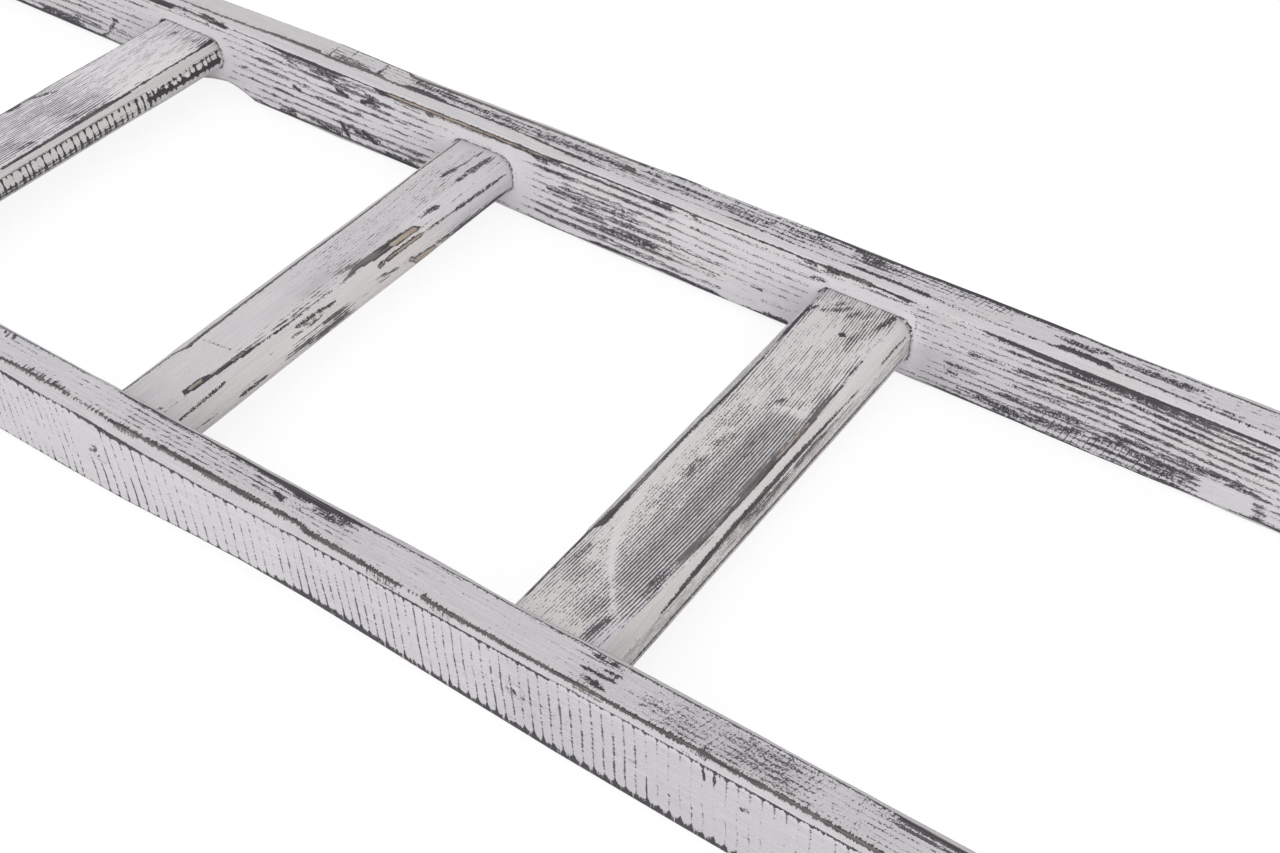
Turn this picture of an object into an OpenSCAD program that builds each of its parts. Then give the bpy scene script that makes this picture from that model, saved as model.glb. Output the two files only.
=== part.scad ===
// Decorative ladder: two chamfered softwood rails and four flat, round-edged rungs.
// It lies on its back as it was photographed. +X runs from the foot end to the top end,
// +Y points to the left rail, +Z points out of the front, and z = 0 is the rails' back.

/* [Rails] */
// Length of each rail
rail_length = 1500; // [1200:10:1900]
// Clear width between the two rails
clear_width = 325; // [240:5:420]
// Thickness of a rail, across the ladder
rail_thickness = 30; // [24:1:45]
// Depth of a rail, from its back to its front face
rail_depth = 69; // [63:1:95]
// Size of the chamfer along the four long edges of a rail
edge_chamfer = 5; // [2:0.5:7]
// Size of the easing round a rail's sawn ends
end_chamfer = 2; // [1:0.5:4]

/* [Worked hollows] */
// Place along the left rail of the hollow in its inner back edge
left_hollow_x = -118; // [-400:2:400]
// Length of the hollow in the left rail
left_hollow_length = 66; // [50:2:200]
// Place along the right rail of the hollow in its outer back edge
right_hollow_x = 285; // [-400:5:400]
// Length of the hollow in the right rail
right_hollow_length = 290; // [150:5:400]
// How much deeper than the edge chamfer a hollow is at its middle
hollow_depth = 6; // [2:0.5:6.5]

/* [Rungs] */
// Distance from one rung's place to the next
rung_pitch = 300; // [180:5:350]
// Width of each rung, from the foot end upwards
rung_widths = [66, 66, 52, 67];
// Thickness of each rung, front to back, from the foot end upwards
rung_thicknesses = [30, 26, 30, 35];
// How far each rung sits off its even place, towards the top end
rung_shifts = [0, 0, -8, 0];
// How much further towards the top end each rung's left end sits than its right end
rung_skews = [0, 8.5, 3, 2];
// Distance from the rails' front face down to the rungs' front face
rung_setback = 20; // [9:1:26]
// Radius of a rung's front edge on the side that is worn round
rung_worn_radius = 14; // [8:1:16]
// Radius of a rung's other three long edges
rung_edge_radius = 9; // [3:1:10]

/* [Joints] */
// Depth of the housing that each rung end is let into
housing_depth = 5; // [3:0.5:8]
// Clearance between a rung and the wall of its housing
housing_clearance = 0.2; // [0.1:0.05:0.5]
// Distance from a rung's front face down to its screws
screw_inset = 12; // [10:0.5:15]

/* [Screws] */
// Length of a screw
screw_length = 70; // [50:5:100]
// Diameter of the screw's thread
thread_diameter = 5; // [4:0.5:6]
// Diameter of the plain shank under the head
shank_diameter = 4; // [3:0.5:4]
// Diameter of the countersunk head
head_diameter = 9.5; // [8:0.5:11]
// Height of the cone under the head
head_height = 3; // [2:0.5:4]
// Length of the plain shank under the head
shank_length = 24; // [10:1:30]
// Length of the screw's point
point_length = 6; // [3:1:8]
// Width across the cross recess in the head
recess_width = 4.6; // [3:0.2:5]
// Width of one slot of the cross recess
recess_slot = 1.2; // [0.8:0.1:1.6]
// Depth of the cross recess
recess_depth = 2; // [1:0.5:2.5]

/* [Filler plugs] */
// Depth of the plug of filler over each screw head
plug_depth = 5; // [3:0.5:8]
// Diameter of the plug of filler
plug_diameter = 11; // [11:0.5:14]
// Clearance round a screw and round a plug
bore_clearance = 0.1; // [0.05:0.05:0.2]

/* [Hidden] */
$fn = 48;

rung_count = len(rung_widths);
arc_steps = 8;
cut_margin = 1;
hollow_facets = 720;
left = 1;
right = -1;

rung_front_z = rail_depth - rung_setback;
screw_z = rung_front_z - screw_inset;
rung_length = clear_width + 2 * housing_depth;
outer_face_y = clear_width / 2 + rail_thickness;
countersink_floor = plug_depth + head_height;

paint_front = [0.83, 0.82, 0.83];
paint_rung = [0.80, 0.79, 0.79];
filler_white = [0.86, 0.85, 0.84];
screw_steel = [0.55, 0.53, 0.47];

// Where rung number i, counted from 0 at the foot end, sits along the rails
function rung_x(i) = (i - (rung_count - 1) / 2) * rung_pitch + rung_shifts[i];

// Points on a quarter circle about c, from angle a0 to a0 + 90
function quarter(c, r, a0) =
    [for (k = [0 : arc_steps]) c + r * [cos(a0 + 90 * k / arc_steps), sin(a0 + 90 * k / arc_steps)]];

// How far rung i leans out of square, as its shift along x for each unit of y
function rung_lean(i) = rung_skews[i] / clear_width;

// Points of rung i's section: x towards the top end, y from back to front, grown all round by grow
function rung_points(i, grow) =
    let (half = rung_widths[i] / 2, t = rung_thicknesses[i], e = rung_edge_radius, w = rung_worn_radius)
    concat(quarter([half - w, t - w], w + grow, 0),
           quarter([-half + e, t - e], e + grow, 90),
           quarter([-half + e, e], e + grow, 180),
           quarter([half - e, e], e + grow, 270));

// A bar with the section of rung i, grown by grow, with its ends cut parallel to the rails
module rung_bar(i, grow) {
    back_z = rung_front_z - rung_thicknesses[i];
    intersection() {
        translate([rung_x(i), 0, back_z])
            rotate([0, 0, -atan(rung_lean(i))])
                rotate([90, 0, 0])
                    linear_extrude(height = rung_length + 2 * rail_thickness, center = true)
                        polygon(rung_points(i, grow));
        translate([rung_x(i), 0, rail_depth / 2])
            cube([2 * rung_widths[i], rung_length, 2 * rail_depth], center = true);
    }
}

// A rectangle centred on the origin with its four corners cut off by c
module cut_corner_rectangle(a, b, c) {
    polygon([[a / 2, b / 2 - c], [a / 2 - c, b / 2], [c - a / 2, b / 2], [-a / 2, b / 2 - c],
             [-a / 2, c - b / 2], [c - a / 2, -b / 2], [a / 2 - c, -b / 2], [a / 2, c - b / 2]]);
}

// A rail's blank, lying along X with its back on z = 0 and centred on y = 0
module rail_blank() {
    translate([0, 0, rail_depth / 2])
        intersection() {
            rotate([90, 0, 90])
                linear_extrude(height = rail_length, center = true)
                    cut_corner_rectangle(rail_thickness, rail_depth, edge_chamfer);
            linear_extrude(height = rail_depth, center = true)
                cut_corner_rectangle(rail_length, rail_thickness, end_chamfer);
            rotate([90, 0, 0])
                linear_extrude(height = rail_thickness, center = true)
                    cut_corner_rectangle(rail_length, rail_depth, end_chamfer);
        }
}

// The cutter of a long shallow hollow in the back edge on the +Y side of a blank
module hollow_cutter(hollow_length) {
    radius = (pow(hollow_length / 2, 2) + pow(hollow_depth, 2)) / (2 * hollow_depth);
    corner_to_floor = edge_chamfer / sqrt(2) + hollow_depth;
    translate([0, rail_thickness / 2, 0])
        rotate([45, 0, 0])
            translate([0, 0, corner_to_floor - radius])
                rotate([90, 0, 0])
                    cylinder(h = 4 * rail_thickness, r = radius, center = true, $fn = hollow_facets);
}

// Places its child at rung i on the outer face of a rail, with +Z pointing into the wood
module at_screw(i, side) {
    end_x = rung_x(i) + side * rung_lean(i) * rung_length / 2;
    translate([end_x, side * outer_face_y, screw_z])
        rotate([side * 90, 0, 0])
            children();
}

// Counterbore for the plug, countersink for the head and clearance hole for the thread
module screw_bore(clear_r) {
    plug_r = plug_diameter / 2;
    head_r = head_diameter / 2 + bore_clearance;
    translate([0, 0, -cut_margin])
        cylinder(h = plug_depth + cut_margin, r = plug_r);
    translate([0, 0, plug_depth])
        cylinder(h = head_height, r1 = head_r, r2 = clear_r);
    translate([0, 0, countersink_floor - bore_clearance])
        cylinder(h = rail_thickness - countersink_floor, r = clear_r);
}

// A rail with its housings and screw bores; the hollow is at hollow_x, on the side it faces
module rail(side, hollow_x, hollow_length, hollow_side) {
    difference() {
        translate([0, side * (clear_width + rail_thickness) / 2, 0])
            difference() {
                rail_blank();
                translate([hollow_x, 0, 0])
                    mirror([0, hollow_side < 0 ? 1 : 0, 0])
                        hollow_cutter(hollow_length);
            }
        for (i = [0 : rung_count - 1])
            rung_bar(i, housing_clearance);
        for (i = [0 : rung_count - 1])
            at_screw(i, side)
                screw_bore(thread_diameter / 2 + bore_clearance);
    }
}

// A rung with a pilot hole in each end, as wide as the thread that fills it
module rung(i) {
    color(paint_rung)
        difference() {
            rung_bar(i, 0);
            for (side = [left, right])
                at_screw(i, side)
                    translate([0, 0, rail_thickness - housing_depth - cut_margin])
                        cylinder(h = plug_depth + screw_length + 2 * cut_margin
                                     - rail_thickness + housing_depth,
                                 r = thread_diameter / 2 + bore_clearance);
        }
}

// A countersunk wood screw, head top on z = 0 and its point along +Z
module screw() {
    head_r = head_diameter / 2;
    shank_r = shank_diameter / 2;
    thread_r = thread_diameter / 2;
    shank_end = head_height + shank_length;
    thread_end = screw_length - point_length;
    difference() {
        rotate_extrude()
            polygon([[0, 0], [head_r, 0], [shank_r, head_height], [shank_r, shank_end],
                     [thread_r, shank_end], [thread_r, thread_end], [0, screw_length]]);
        for (turn = [0, 90])
            rotate([0, 0, turn])
                translate([-recess_width / 2, -recess_slot / 2, -cut_margin])
                    cube([recess_width, recess_slot, recess_depth + cut_margin]);
    }
}

// The screws of one rail, with their heads under the plugs
module rail_screws(side) {
    color(screw_steel)
        for (i = [0 : rung_count - 1])
            at_screw(i, side)
                translate([0, 0, plug_depth])
                    screw();
}

// The plug of filler over the screw at rung i, flush with the rail and seated on the head
module plug(i, side) {
    color(filler_white)
        at_screw(i, side)
            cylinder(h = plug_depth, r = plug_diameter / 2 - bore_clearance);
}

module left_rail() {
    color(paint_front)
        rail(left, left_hollow_x, left_hollow_length, -left);
}

module right_rail() {
    color(paint_front)
        rail(right, right_hollow_x, right_hollow_length, right);
}

left_rail();
right_rail();
rung(0);  // rung_1
rung(1);  // rung_2
rung(2);  // rung_3
rung(3);  // rung_4
rail_screws(left);  // left_rail_screws
rail_screws(right);  // right_rail_screws
plug(0, left);  // left_plug_1
plug(1, left);  // left_plug_2
plug(2, left);  // left_plug_3
plug(3, left);  // left_plug_4
plug(0, right);  // right_plug_1
plug(1, right);  // right_plug_2
plug(2, right);  // right_plug_3
plug(3, right);  // right_plug_4
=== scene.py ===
import math

import bmesh
import bpy
import numpy as np
from mathutils import Matrix, Quaternion, Vector


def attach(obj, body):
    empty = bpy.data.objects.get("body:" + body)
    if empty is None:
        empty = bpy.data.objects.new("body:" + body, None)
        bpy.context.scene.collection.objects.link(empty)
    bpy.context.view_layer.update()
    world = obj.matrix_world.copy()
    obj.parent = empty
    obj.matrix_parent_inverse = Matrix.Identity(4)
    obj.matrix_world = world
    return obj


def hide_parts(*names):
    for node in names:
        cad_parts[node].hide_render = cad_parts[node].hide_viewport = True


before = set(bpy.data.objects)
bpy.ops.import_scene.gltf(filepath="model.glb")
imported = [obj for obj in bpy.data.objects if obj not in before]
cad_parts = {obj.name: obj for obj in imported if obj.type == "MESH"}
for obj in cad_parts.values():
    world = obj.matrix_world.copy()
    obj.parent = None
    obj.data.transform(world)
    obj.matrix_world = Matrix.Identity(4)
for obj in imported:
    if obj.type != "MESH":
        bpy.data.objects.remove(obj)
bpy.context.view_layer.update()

MM = 0.001

# Sizes in millimetres, as in the CAD model
RAIL_LENGTH = 1500.0
CLEAR_WIDTH = 325.0
RAIL_THICKNESS = 30.0
RAIL_DEPTH = 69.0
EDGE_CHAMFER = 5.0
END_CHAMFER = 2.0
HOLLOW_DEPTH = 6.0
RUNG_X = (-450.0, -150.0, 142.0, 450.0)
RUNG_WIDTH = (66.0, 66.0, 52.0, 67.0)
RUNG_THICKNESS = (30.0, 26.0, 30.0, 35.0)
RUNG_SKEW = (0.0, 8.5, 3.0, 2.0)
RUNG_FRONT_Z = 49.0
RUNG_ROUND = 9.0
RUNG_WORN_ROUND = 14.0
HOUSING_DEPTH = 5.0
HOUSING_CLEARANCE = 0.2
SCREW_Z = 37.0
PLUG_DEPTH = 5.0
PLUG_RADIUS = 5.4
PLUG_HOLE_RADIUS = 5.5
PLUG_SET_IN = 0.35
PLUG_DOME = 0.2
RUNGS = range(len(RUNG_X))
RUNG_LENGTH = CLEAR_WIDTH + 2 * HOUSING_DEPTH
LEFT, RIGHT = 1, -1

# Camera, solved from the straight edges of the photograph
CAMERA_PLACE = Vector((826.2, -596.2, 748.3)) * MM
CAMERA_HEADING = math.radians(36.015)
CAMERA_TILT = math.radians(43.820)
CAMERA_ROLL = math.radians(-1.561)
CAMERA_LENS = 48.866
CAMERA_SENSOR = 36.0
CAMERA_CLIP = (0.01, 50.0)


def add_object(name, data):
    """Adds an object at the origin."""
    thing = bpy.data.objects.new(name, data)
    bpy.context.scene.collection.objects.link(thing)
    return thing


def remove_meshes(*things):
    """Removes objects that were only there to work with, and their meshes."""
    for thing in things:
        mesh = thing.data
        bpy.data.objects.remove(thing)
        bpy.data.meshes.remove(mesh)


def look_along(thing, direction, roll=0.0):
    """Turns a camera or a lamp to face a direction."""
    thing.rotation_mode = "QUATERNION"
    thing.rotation_quaternion = direction.to_track_quat("-Z", "Y") @ Quaternion((0, 0, 1), roll)


def make_camera():
    """The photograph's view."""
    data = bpy.data.cameras.new("camera")
    data.sensor_width = CAMERA_SENSOR
    data.sensor_fit = "HORIZONTAL"
    data.lens = CAMERA_LENS
    data.clip_start, data.clip_end = CAMERA_CLIP
    camera = add_object("camera", data)
    camera.location = CAMERA_PLACE
    level = math.cos(CAMERA_TILT)
    forward = Vector((-math.sin(CAMERA_HEADING) * level, math.cos(CAMERA_HEADING) * level, -math.sin(CAMERA_TILT)))
    look_along(camera, forward, CAMERA_ROLL)
    bpy.context.scene.camera = camera


make_camera()


# ---- Wandering values and marks, all in millimetres on the unrolled surface

# Depth of a place that no wear reaches
UNWORN = -4.0
LINE_LATTICE, CLOUD_LATTICE = 2048, 512


def smooth(t):
    return t * t * (3 - 2 * t)


def ease(t):
    """0 up to 0, 1 from 1 on, smooth between."""
    return smooth(np.clip(t, 0, 1))


def wander(u, seed, span):
    """A value between -1 and 1 that turns about once every span along u."""
    lattice = np.random.default_rng(seed).uniform(-1, 1, LINE_LATTICE)
    q = np.asarray(u, float) / span + 700.0
    i = np.floor(q).astype(int)
    t = smooth(q - i)
    return lattice[i % LINE_LATTICE] * (1 - t) + lattice[(i + 1) % LINE_LATTICE] * t


def cloud(u, v, seed, span_u, span_v):
    """The same over a surface."""
    n = CLOUD_LATTICE
    lattice = np.random.default_rng(seed).uniform(-1, 1, (n, n))
    p, q = u / span_u + 200.0, v / span_v + 200.0
    i, j = np.floor(p).astype(int), np.floor(q).astype(int)
    a, b = smooth(p - i), smooth(q - j)
    i0, i1, j0, j1 = i % n, (i + 1) % n, j % n, (j + 1) % n
    return ((lattice[i0, j0] * (1 - a) + lattice[i1, j0] * a) * (1 - b)
            + (lattice[i0, j1] * (1 - a) + lattice[i1, j1] * a) * b)


def hand_work(u, v, seed, span_u, span_v):
    """How far below its true face the slow unevenness of hand work leaves a place."""
    return 0.25 + 0.25 * cloud(u, v, seed, span_u, span_v)


def along_keys(u, keys):
    """The value at u of a line through the keys, each a place and its value."""
    return np.interp(u, *zip(*keys))


class Surface:
    """What every vertex of a painted piece knows about the finish at its place.

    u runs along the grain and s round the piece. worn and bare are depths inside the worn-through places, below 0
    outside them; dry is how far the brush was from covering; the phases count the growth rings and the planer's
    ridges, and the shares say how much these show. teeth and fur say how the ridges and the grain fray worn edges.

    A mark is x0, s0, x1, s1 and half its width. An area is x0, x1, s0, s1 and the amount that is added there. Their
    s0 and s1 are counted from the start of the face that on was given last.
    """

    NAMES = ("worn", "bare", "dry", "speckle", "ring_phase", "ring_share", "ridge_phase", "ridge_share", "teeth",
             "fur", "warmth", "thin", "rubbed")

    def __init__(self, u, s):
        self.u, self.s, self.start = u, s, 0.0
        for name in self.NAMES:
            setattr(self, name, np.zeros(u.shape))
        self.worn += UNWORN
        self.bare += UNWORN
        self.speckle += 0.5
        self.fur += 1.0

    def on(self, start):
        """Counts the s of what follows from here."""
        self.start = start

    def depth(self, x0, s0, x1, s1, half, taper=0.25):
        """How deep each place lies inside a mark."""
        dx, ds = x1 - x0, s1 - s0
        u, s = self.u - x0, self.s - self.start - s0
        t = np.clip((u * dx + s * ds) / max(dx * dx + ds * ds, 1e-6), 0, 1)
        return half * np.minimum(1.0, np.minimum(t, 1 - t) / taper + 0.3) - np.hypot(u - t * dx, s - t * ds)

    def strokes(self, *marks, solid=0.36):
        """Marks worn down to the wax, to a depth of solid at most."""
        for mark in marks:
            self.worn = np.maximum(self.worn, np.minimum(self.depth(*mark), solid))

    def scatter(self, seed, count, x0, x1, s0, s1):
        """Strokes at random over a stretch."""
        draws = np.random.default_rng(seed).uniform((x0, s0, 8, -1.5, 0.8), (x1, s1, 60, 1.5, 2.2), (count, 5))
        for x, s, length, rise, half in draws:
            self.strokes((x, s, x + length, s + rise, half))

    def smudges(self, *marks, amount=0.42):
        """Marks that the brush's grain breaks up."""
        for mark in marks:
            self.dry += amount * ease(self.depth(*mark) / mark[-1] + 0.4)

    def bared(self, *marks, outline=0.9):
        """Bare pine with a fine line of wax round it."""
        for *ends, half in marks:
            self.bare = np.maximum(self.bare, self.depth(*ends, half, 0.15))
            self.worn = np.maximum(self.worn, self.depth(*ends, half + outline, 0.1))

    def area(self, x0, x1, s0, s1, soft_u=12.0, soft_s=2.5):
        """1 inside an area, 0 outside, soft between."""
        u, s = self.u, self.s - self.start
        return (ease((u - x0) / soft_u + 0.5) * ease((x1 - u) / soft_u + 0.5)
                * ease((s - s0) / soft_s + 0.5) * ease((s1 - s) / soft_s + 0.5))

    def shift(self, name, *areas, soft_u=12.0, soft_s=2.5):
        """Adds the amount of each area to one of the values there."""
        values = getattr(self, name)
        for *sides, amount in areas:
            values += amount * self.area(*sides, soft_u, soft_s)

    def edge(self, line, reach, back=0.4):
        """Wear on the low side of an arris, as far as reach says, and a share of it on the other side."""
        off, reach = self.s - along_keys(self.u, line), along_keys(self.u, reach)
        self.worn = np.maximum(self.worn, np.where(off < 0, reach, reach * back) - np.abs(off))

    def cover(self, shine, thick=0.5, bright=0.5):
        """Brushes thick white over everything, as far as shine says."""
        self.dry -= thick * shine
        self.thin -= bright * shine
        self.worn = self.worn * (1 - shine) + UNWORN * shine

    def sweep(self, path, width, start, end, thick):
        """A light stroke of thick white with one sharp edge that follows a path."""
        t = (self.s - along_keys(self.u, path)) / width
        shine = ease(t * 6) * ease(1.2 - t) * ease((self.u - start) / 12) * ease((end - self.u) / 18)
        self.cover(shine, thick, 0.12)

    def store(self, mesh):
        """Writes every value to the mesh, for the finishes to read."""
        for name in self.NAMES:
            values = np.ascontiguousarray(getattr(self, name), np.float32).ravel()
            mesh.attributes.new(name, "FLOAT", "POINT").data.foreach_set("value", values)


# ---- Finishes

# Colours of the finish, from the white down to the wood
COOL_WHITE, WARM_WHITE = (0.760, 0.736, 0.768, 1), (0.768, 0.735, 0.718, 1)
# the grey that thinly painted white shows over the wax, also mixed in as painted shade
THIN_AND_SHADED_WHITE = (0.235, 0.225, 0.240, 1)
BLACK_WAX, RUBBED_WAX = (0.040, 0.036, 0.044, 1), (0.215, 0.188, 0.176, 1)
LIGHT_PINE, DARK_PINE = (0.45, 0.385, 0.325, 1), (0.31, 0.25, 0.21, 1)
BRIGHT_STEEL, DULL_STEEL = (0.62, 0.57, 0.44, 1), (0.42, 0.39, 0.33, 1)

# How far a gap in the brushing and a worn place show the wax, and the finish's gloss
GAP_DEPTH, WORN_SHOWS, GLOSS = 0.88, 0.97, 0.2
# Heights in the relief, in millimetres: brush marks, the step down to the wax, the planer's ridges
BRUSH_HEIGHT, WAX_STEP, RIDGE_HEIGHT = 0.22, -0.14, 0.16
STEEL_GRAIN, STEEL_RELIEF = 900.0, 0.05

# Noises of the finish: scale along the grain, scale across it, layer, detail and roughness
LONG_STREAK = (0.04, 0.95, 2.0, 4.0, 0.6)
FLECK = (0.2, 0.62, 4.0, 3.0, 0.6)
GRIT = (0.85, 1.15, 6.0, 3.0, 0.7)
CRUMB = (0.5, 1.3, 9.0, 2.0, 0.6)
RING_ROW = (0.04, 7.7, 31.0, 2.0, 0.6)
RIDGE_ROW = (5.7, 0.05, 17.0, 0.0, 0.6)
RIDGE_DASH = (3.9, 0.4, 19.0, 2.0, 0.6)
RAGGED_EDGE = (0.22, 0.6, 3.0, 3.0, 0.6)
EDGE_GRIT = (0.9, 1.2, 8.0, 3.0, 0.7)
HAIR = (0.75, 0.09, 12.0, 2.0, 0.6)
TOOTH_HEIGHT = (7.3, 0.03, 15.0, 0.0, 0.6)
PINE_GRAIN = (0.05, 1.3, 11.0, 4.0, 0.6)
WAX_GRAIN = (0.035, 1.2, 5.0, 4.0, 0.65)
BRUSH_STREAK = (0.03, 1.15, 21.0, 5.0, 0.7)
WARM_CLOUD = (0.018, 0.05, 29.0, 3.0, 0.6)
WHITE_GRIT = (0.7, 1.1, 37.0, 3.0, 0.7)
BRUSH_RELIEF = (0.05, 1.2, 13.0, 4.0, 0.6)


class Wiring:
    """Short names for the nodes that the finishes and the blanks are made of."""

    def __init__(self, tree):
        self.tree = tree

    def put(self, socket, value):
        if isinstance(value, bpy.types.NodeSocket):
            self.tree.links.new(value, socket)
        else:
            socket.default_value = value

    def add(self, kind, mode=None, **values):
        node = self.tree.nodes.new(kind)
        if mode:
            node.mode = mode
        for name, value in values.items():
            self.put(node.inputs[name.replace("_", " ")], value)
        return node

    def math(self, kind, a, b=0.0, c=0.0):
        node = self.tree.nodes.new("ShaderNodeMath")
        node.operation = kind
        for socket, value in zip(node.inputs, (a, b, c)):
            self.put(socket, value)
        return node.outputs[0]

    def times(self, a, b):
        return self.math("MULTIPLY", a, b)

    def minus(self, a, b):
        return self.math("SUBTRACT", a, b)

    def more(self, value, amount, base):
        """base + amount * value"""
        return self.math("MULTIPLY_ADD", value, amount, base)

    def ramp(self, value, low, high):
        """0 below low, 1 above high, smooth between."""
        node = self.add("ShaderNodeMapRange", Value=value, From_Min=low, From_Max=high)
        node.interpolation_type = "SMOOTHSTEP"
        return node.outputs["Result"]

    def blend(self, share, a, b):
        node = self.tree.nodes.new("ShaderNodeMix")
        node.data_type = "RGBA"
        for name, value in (("Factor_Float", share), ("A_Color", a), ("B_Color", b)):
            self.put(next(s for s in node.inputs if s.identifier == name), value)
        return next(s for s in node.outputs if s.identifier == "Result_Color")

    def noise(self, along, across, kind):
        """Noise round 0, drawn out by the scales of its kind."""
        scale_along, scale_across, layer, detail, roughness = kind
        place = self.add("ShaderNodeCombineXYZ", X=self.times(along, scale_along),
                         Y=self.times(across, scale_across), Z=layer)
        node = self.add("ShaderNodeTexNoise", Vector=place.outputs[0], Scale=1.0, Detail=detail, Roughness=roughness)
        return self.minus(node.outputs["Fac"], 0.5)

    def attribute(self, name):
        node = self.tree.nodes.new("ShaderNodeAttribute")
        node.attribute_name = name
        return node.outputs["Fac"]

    def group(self, tree, **values):
        node = self.tree.nodes.new("ShaderNodeGroup")
        node.node_tree = tree
        for name, value in values.items():
            self.put(node.inputs[name.replace("_", " ")], value)
        return node.outputs

    def seen(self):
        """1 for the rays that show a thing itself, 0 for those that only carry its light."""
        path = self.add("ShaderNodeLightPath").outputs
        return self.math("MAXIMUM", self.math("MAXIMUM", path["Is Camera Ray"], path["Is Glossy Ray"]),
                         path["Is Transmission Ray"])


def new_group(name, inputs, outputs, kind="NodeSocketFloat"):
    """An empty shader node group, with its wiring, its noise on the grain, its inputs and its outputs."""
    tree = bpy.data.node_groups.new(name, "ShaderNodeTree")
    for label in inputs:
        tree.interface.new_socket(label, in_out="INPUT", socket_type="NodeSocketFloat")
    for label in outputs:
        tree.interface.new_socket(label, in_out="OUTPUT", socket_type=kind)
    w = Wiring(tree)
    i, o = tree.nodes.new("NodeGroupInput").outputs, tree.nodes.new("NodeGroupOutput").inputs
    return w, lambda kind: w.noise(i["Along"], i["Across"], kind), i, o


def off_line(w, phase):
    """How far a place is from the nearest line that phase counts, up to a half."""
    return w.math("ABSOLUTE", w.minus(w.math("FRACT", phase), 0.5))


def line_of(w, phase, width):
    """1 on each line that phase counts, falling to 0 at width, a share of the way to the next line."""
    return w.minus(1.0, w.ramp(w.times(off_line(w, phase), 2.0), 0.0, width))


def make_dry_brush():
    """Where a dry brush of white missed the low grain and the planer's ridges."""
    w, noise, i, o = new_group(
        "dry_brush", ("Along", "Across", "Ring", "Ring share", "Ridge", "Ridge share", "Dry", "Speckle"),
        ("Gap",))
    fleck, grit = noise(FLECK), noise(GRIT)
    count = w.more(fleck, 0.45, i["Ring"])
    broken = w.math("MAXIMUM", w.more(i["Speckle"], 5.0, -1.5), 0.0)
    row = w.noise(i["Along"], w.math("FLOOR", count), RING_ROW)
    ring = w.times(line_of(w, count, 0.8),
                   w.more(row, 2.4, w.math("ADD", w.times(noise(CRUMB), broken), 1.0)))
    count = w.more(grit, 0.2, i["Ridge"])
    each = w.noise(w.math("FLOOR", count), i["Across"], RIDGE_ROW)
    dash = w.noise(w.math("FLOOR", count), i["Across"], RIDGE_DASH)
    shown = w.more(dash, 2.6, w.more(each, 2.2, w.more(fleck, 3.0, 0.9)))
    ridge = w.minus(w.times(line_of(w, count, 0.34), shown), 0.15)
    value = w.more(w.minus(ring, 0.35), i["Ring share"], i["Dry"])
    value = w.more(ridge, i["Ridge share"], value)
    value = w.more(fleck, 1.1, value)
    value = w.more(noise(LONG_STREAK), w.minus(1.3, i["Speckle"]), value)
    value = w.more(grit, w.more(i["Speckle"], 1.35, 0.6), value)
    w.put(o["Gap"], w.ramp(value, 0.45, 0.58))
    return w.tree


def make_worn_edge():
    """Where sanding went through the white to the wax, and through the wax to the pine."""
    w, noise, i, o = new_group("worn_edge", ("Along", "Across", "Worn", "Bare", "Ridge", "Teeth", "Fur"),
                               ("Dark", "Pine"))
    ragged, grit = noise(RAGGED_EDGE), noise(EDGE_GRIT)
    phase = w.more(grit, 0.16, i["Ridge"])
    tall = w.noise(w.math("FLOOR", phase), i["Across"], TOOTH_HEIGHT)
    tooth = w.math("MAXIMUM", w.more(off_line(w, phase), -4.2, 1.0), 0.0)
    tooth = w.minus(w.times(tooth, w.more(tall, 3.2, 1.0)), 0.2)
    worn = w.more(ragged, 2.6, i["Worn"])
    worn = w.more(grit, 3.4, worn)
    worn = w.more(noise(HAIR), i["Fur"], worn)
    worn = w.more(tooth, i["Teeth"], worn)
    w.put(o["Dark"], w.ramp(worn, -0.15, 0.25))
    w.put(o["Pine"], w.ramp(w.more(grit, 1.2, w.more(ragged, 2.2, i["Bare"])), -0.1, 0.5))
    return w.tree


def make_pine():
    """Colour of bare softwood, with its fine grain."""
    w, noise, _, o = new_group("bare_pine", ("Along", "Across"), ("Color",), "NodeSocketColor")
    w.put(o["Color"], w.blend(w.ramp(noise(PINE_GRAIN), -0.12, 0.15), LIGHT_PINE, DARK_PINE))
    return w.tree


def make_dark_wax():
    """Colour of the wax under the white, rubbed back to a grey brown where Rubbed says."""
    w, noise, i, o = new_group("dark_wax", ("Along", "Across", "Rubbed"), ("Color",), "NodeSocketColor")
    rubbed = w.ramp(w.more(noise(WAX_GRAIN), 2.2, i["Rubbed"]), 0.3, 0.9)
    w.put(o["Color"], w.blend(rubbed, BLACK_WAX, RUBBED_WAX))
    return w.tree


def make_white_coat():
    """Colour of the white, greyer in fine brush lines and where Thin says, warmer where Warmth says. Thin is thinly
    painted white in some places, painted shade in others, and painted light where it is below 0.
    """
    w, noise, i, o = new_group("white_coat", ("Along", "Across", "Warmth", "Thin"), ("Color",), "NodeSocketColor")
    warm = w.ramp(w.more(noise(WARM_CLOUD), 1.2, i["Warmth"]), 0.0, 1.0)
    share = w.more(noise(BRUSH_STREAK), 0.8, w.more(noise(WHITE_GRIT), 0.5, w.more(i["Thin"], 0.4, 0.286)))
    share = w.math("MINIMUM", w.math("MAXIMUM", share, 0.0), 0.8)
    w.put(o["Color"], w.blend(share, w.blend(warm, COOL_WHITE, WARM_WHITE), THIN_AND_SHADED_WHITE))
    return w.tree


dry_brush, worn_edge = make_dry_brush(), make_worn_edge()
bare_pine, dark_wax, white_coat = make_pine(), make_dark_wax(), make_white_coat()


def new_material(name):
    """A material with its wiring and the inputs of its shader."""
    material = bpy.data.materials.new(name)
    material.use_nodes = True
    return material, Wiring(material.node_tree), material.node_tree.nodes["Principled BSDF"].inputs


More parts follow.
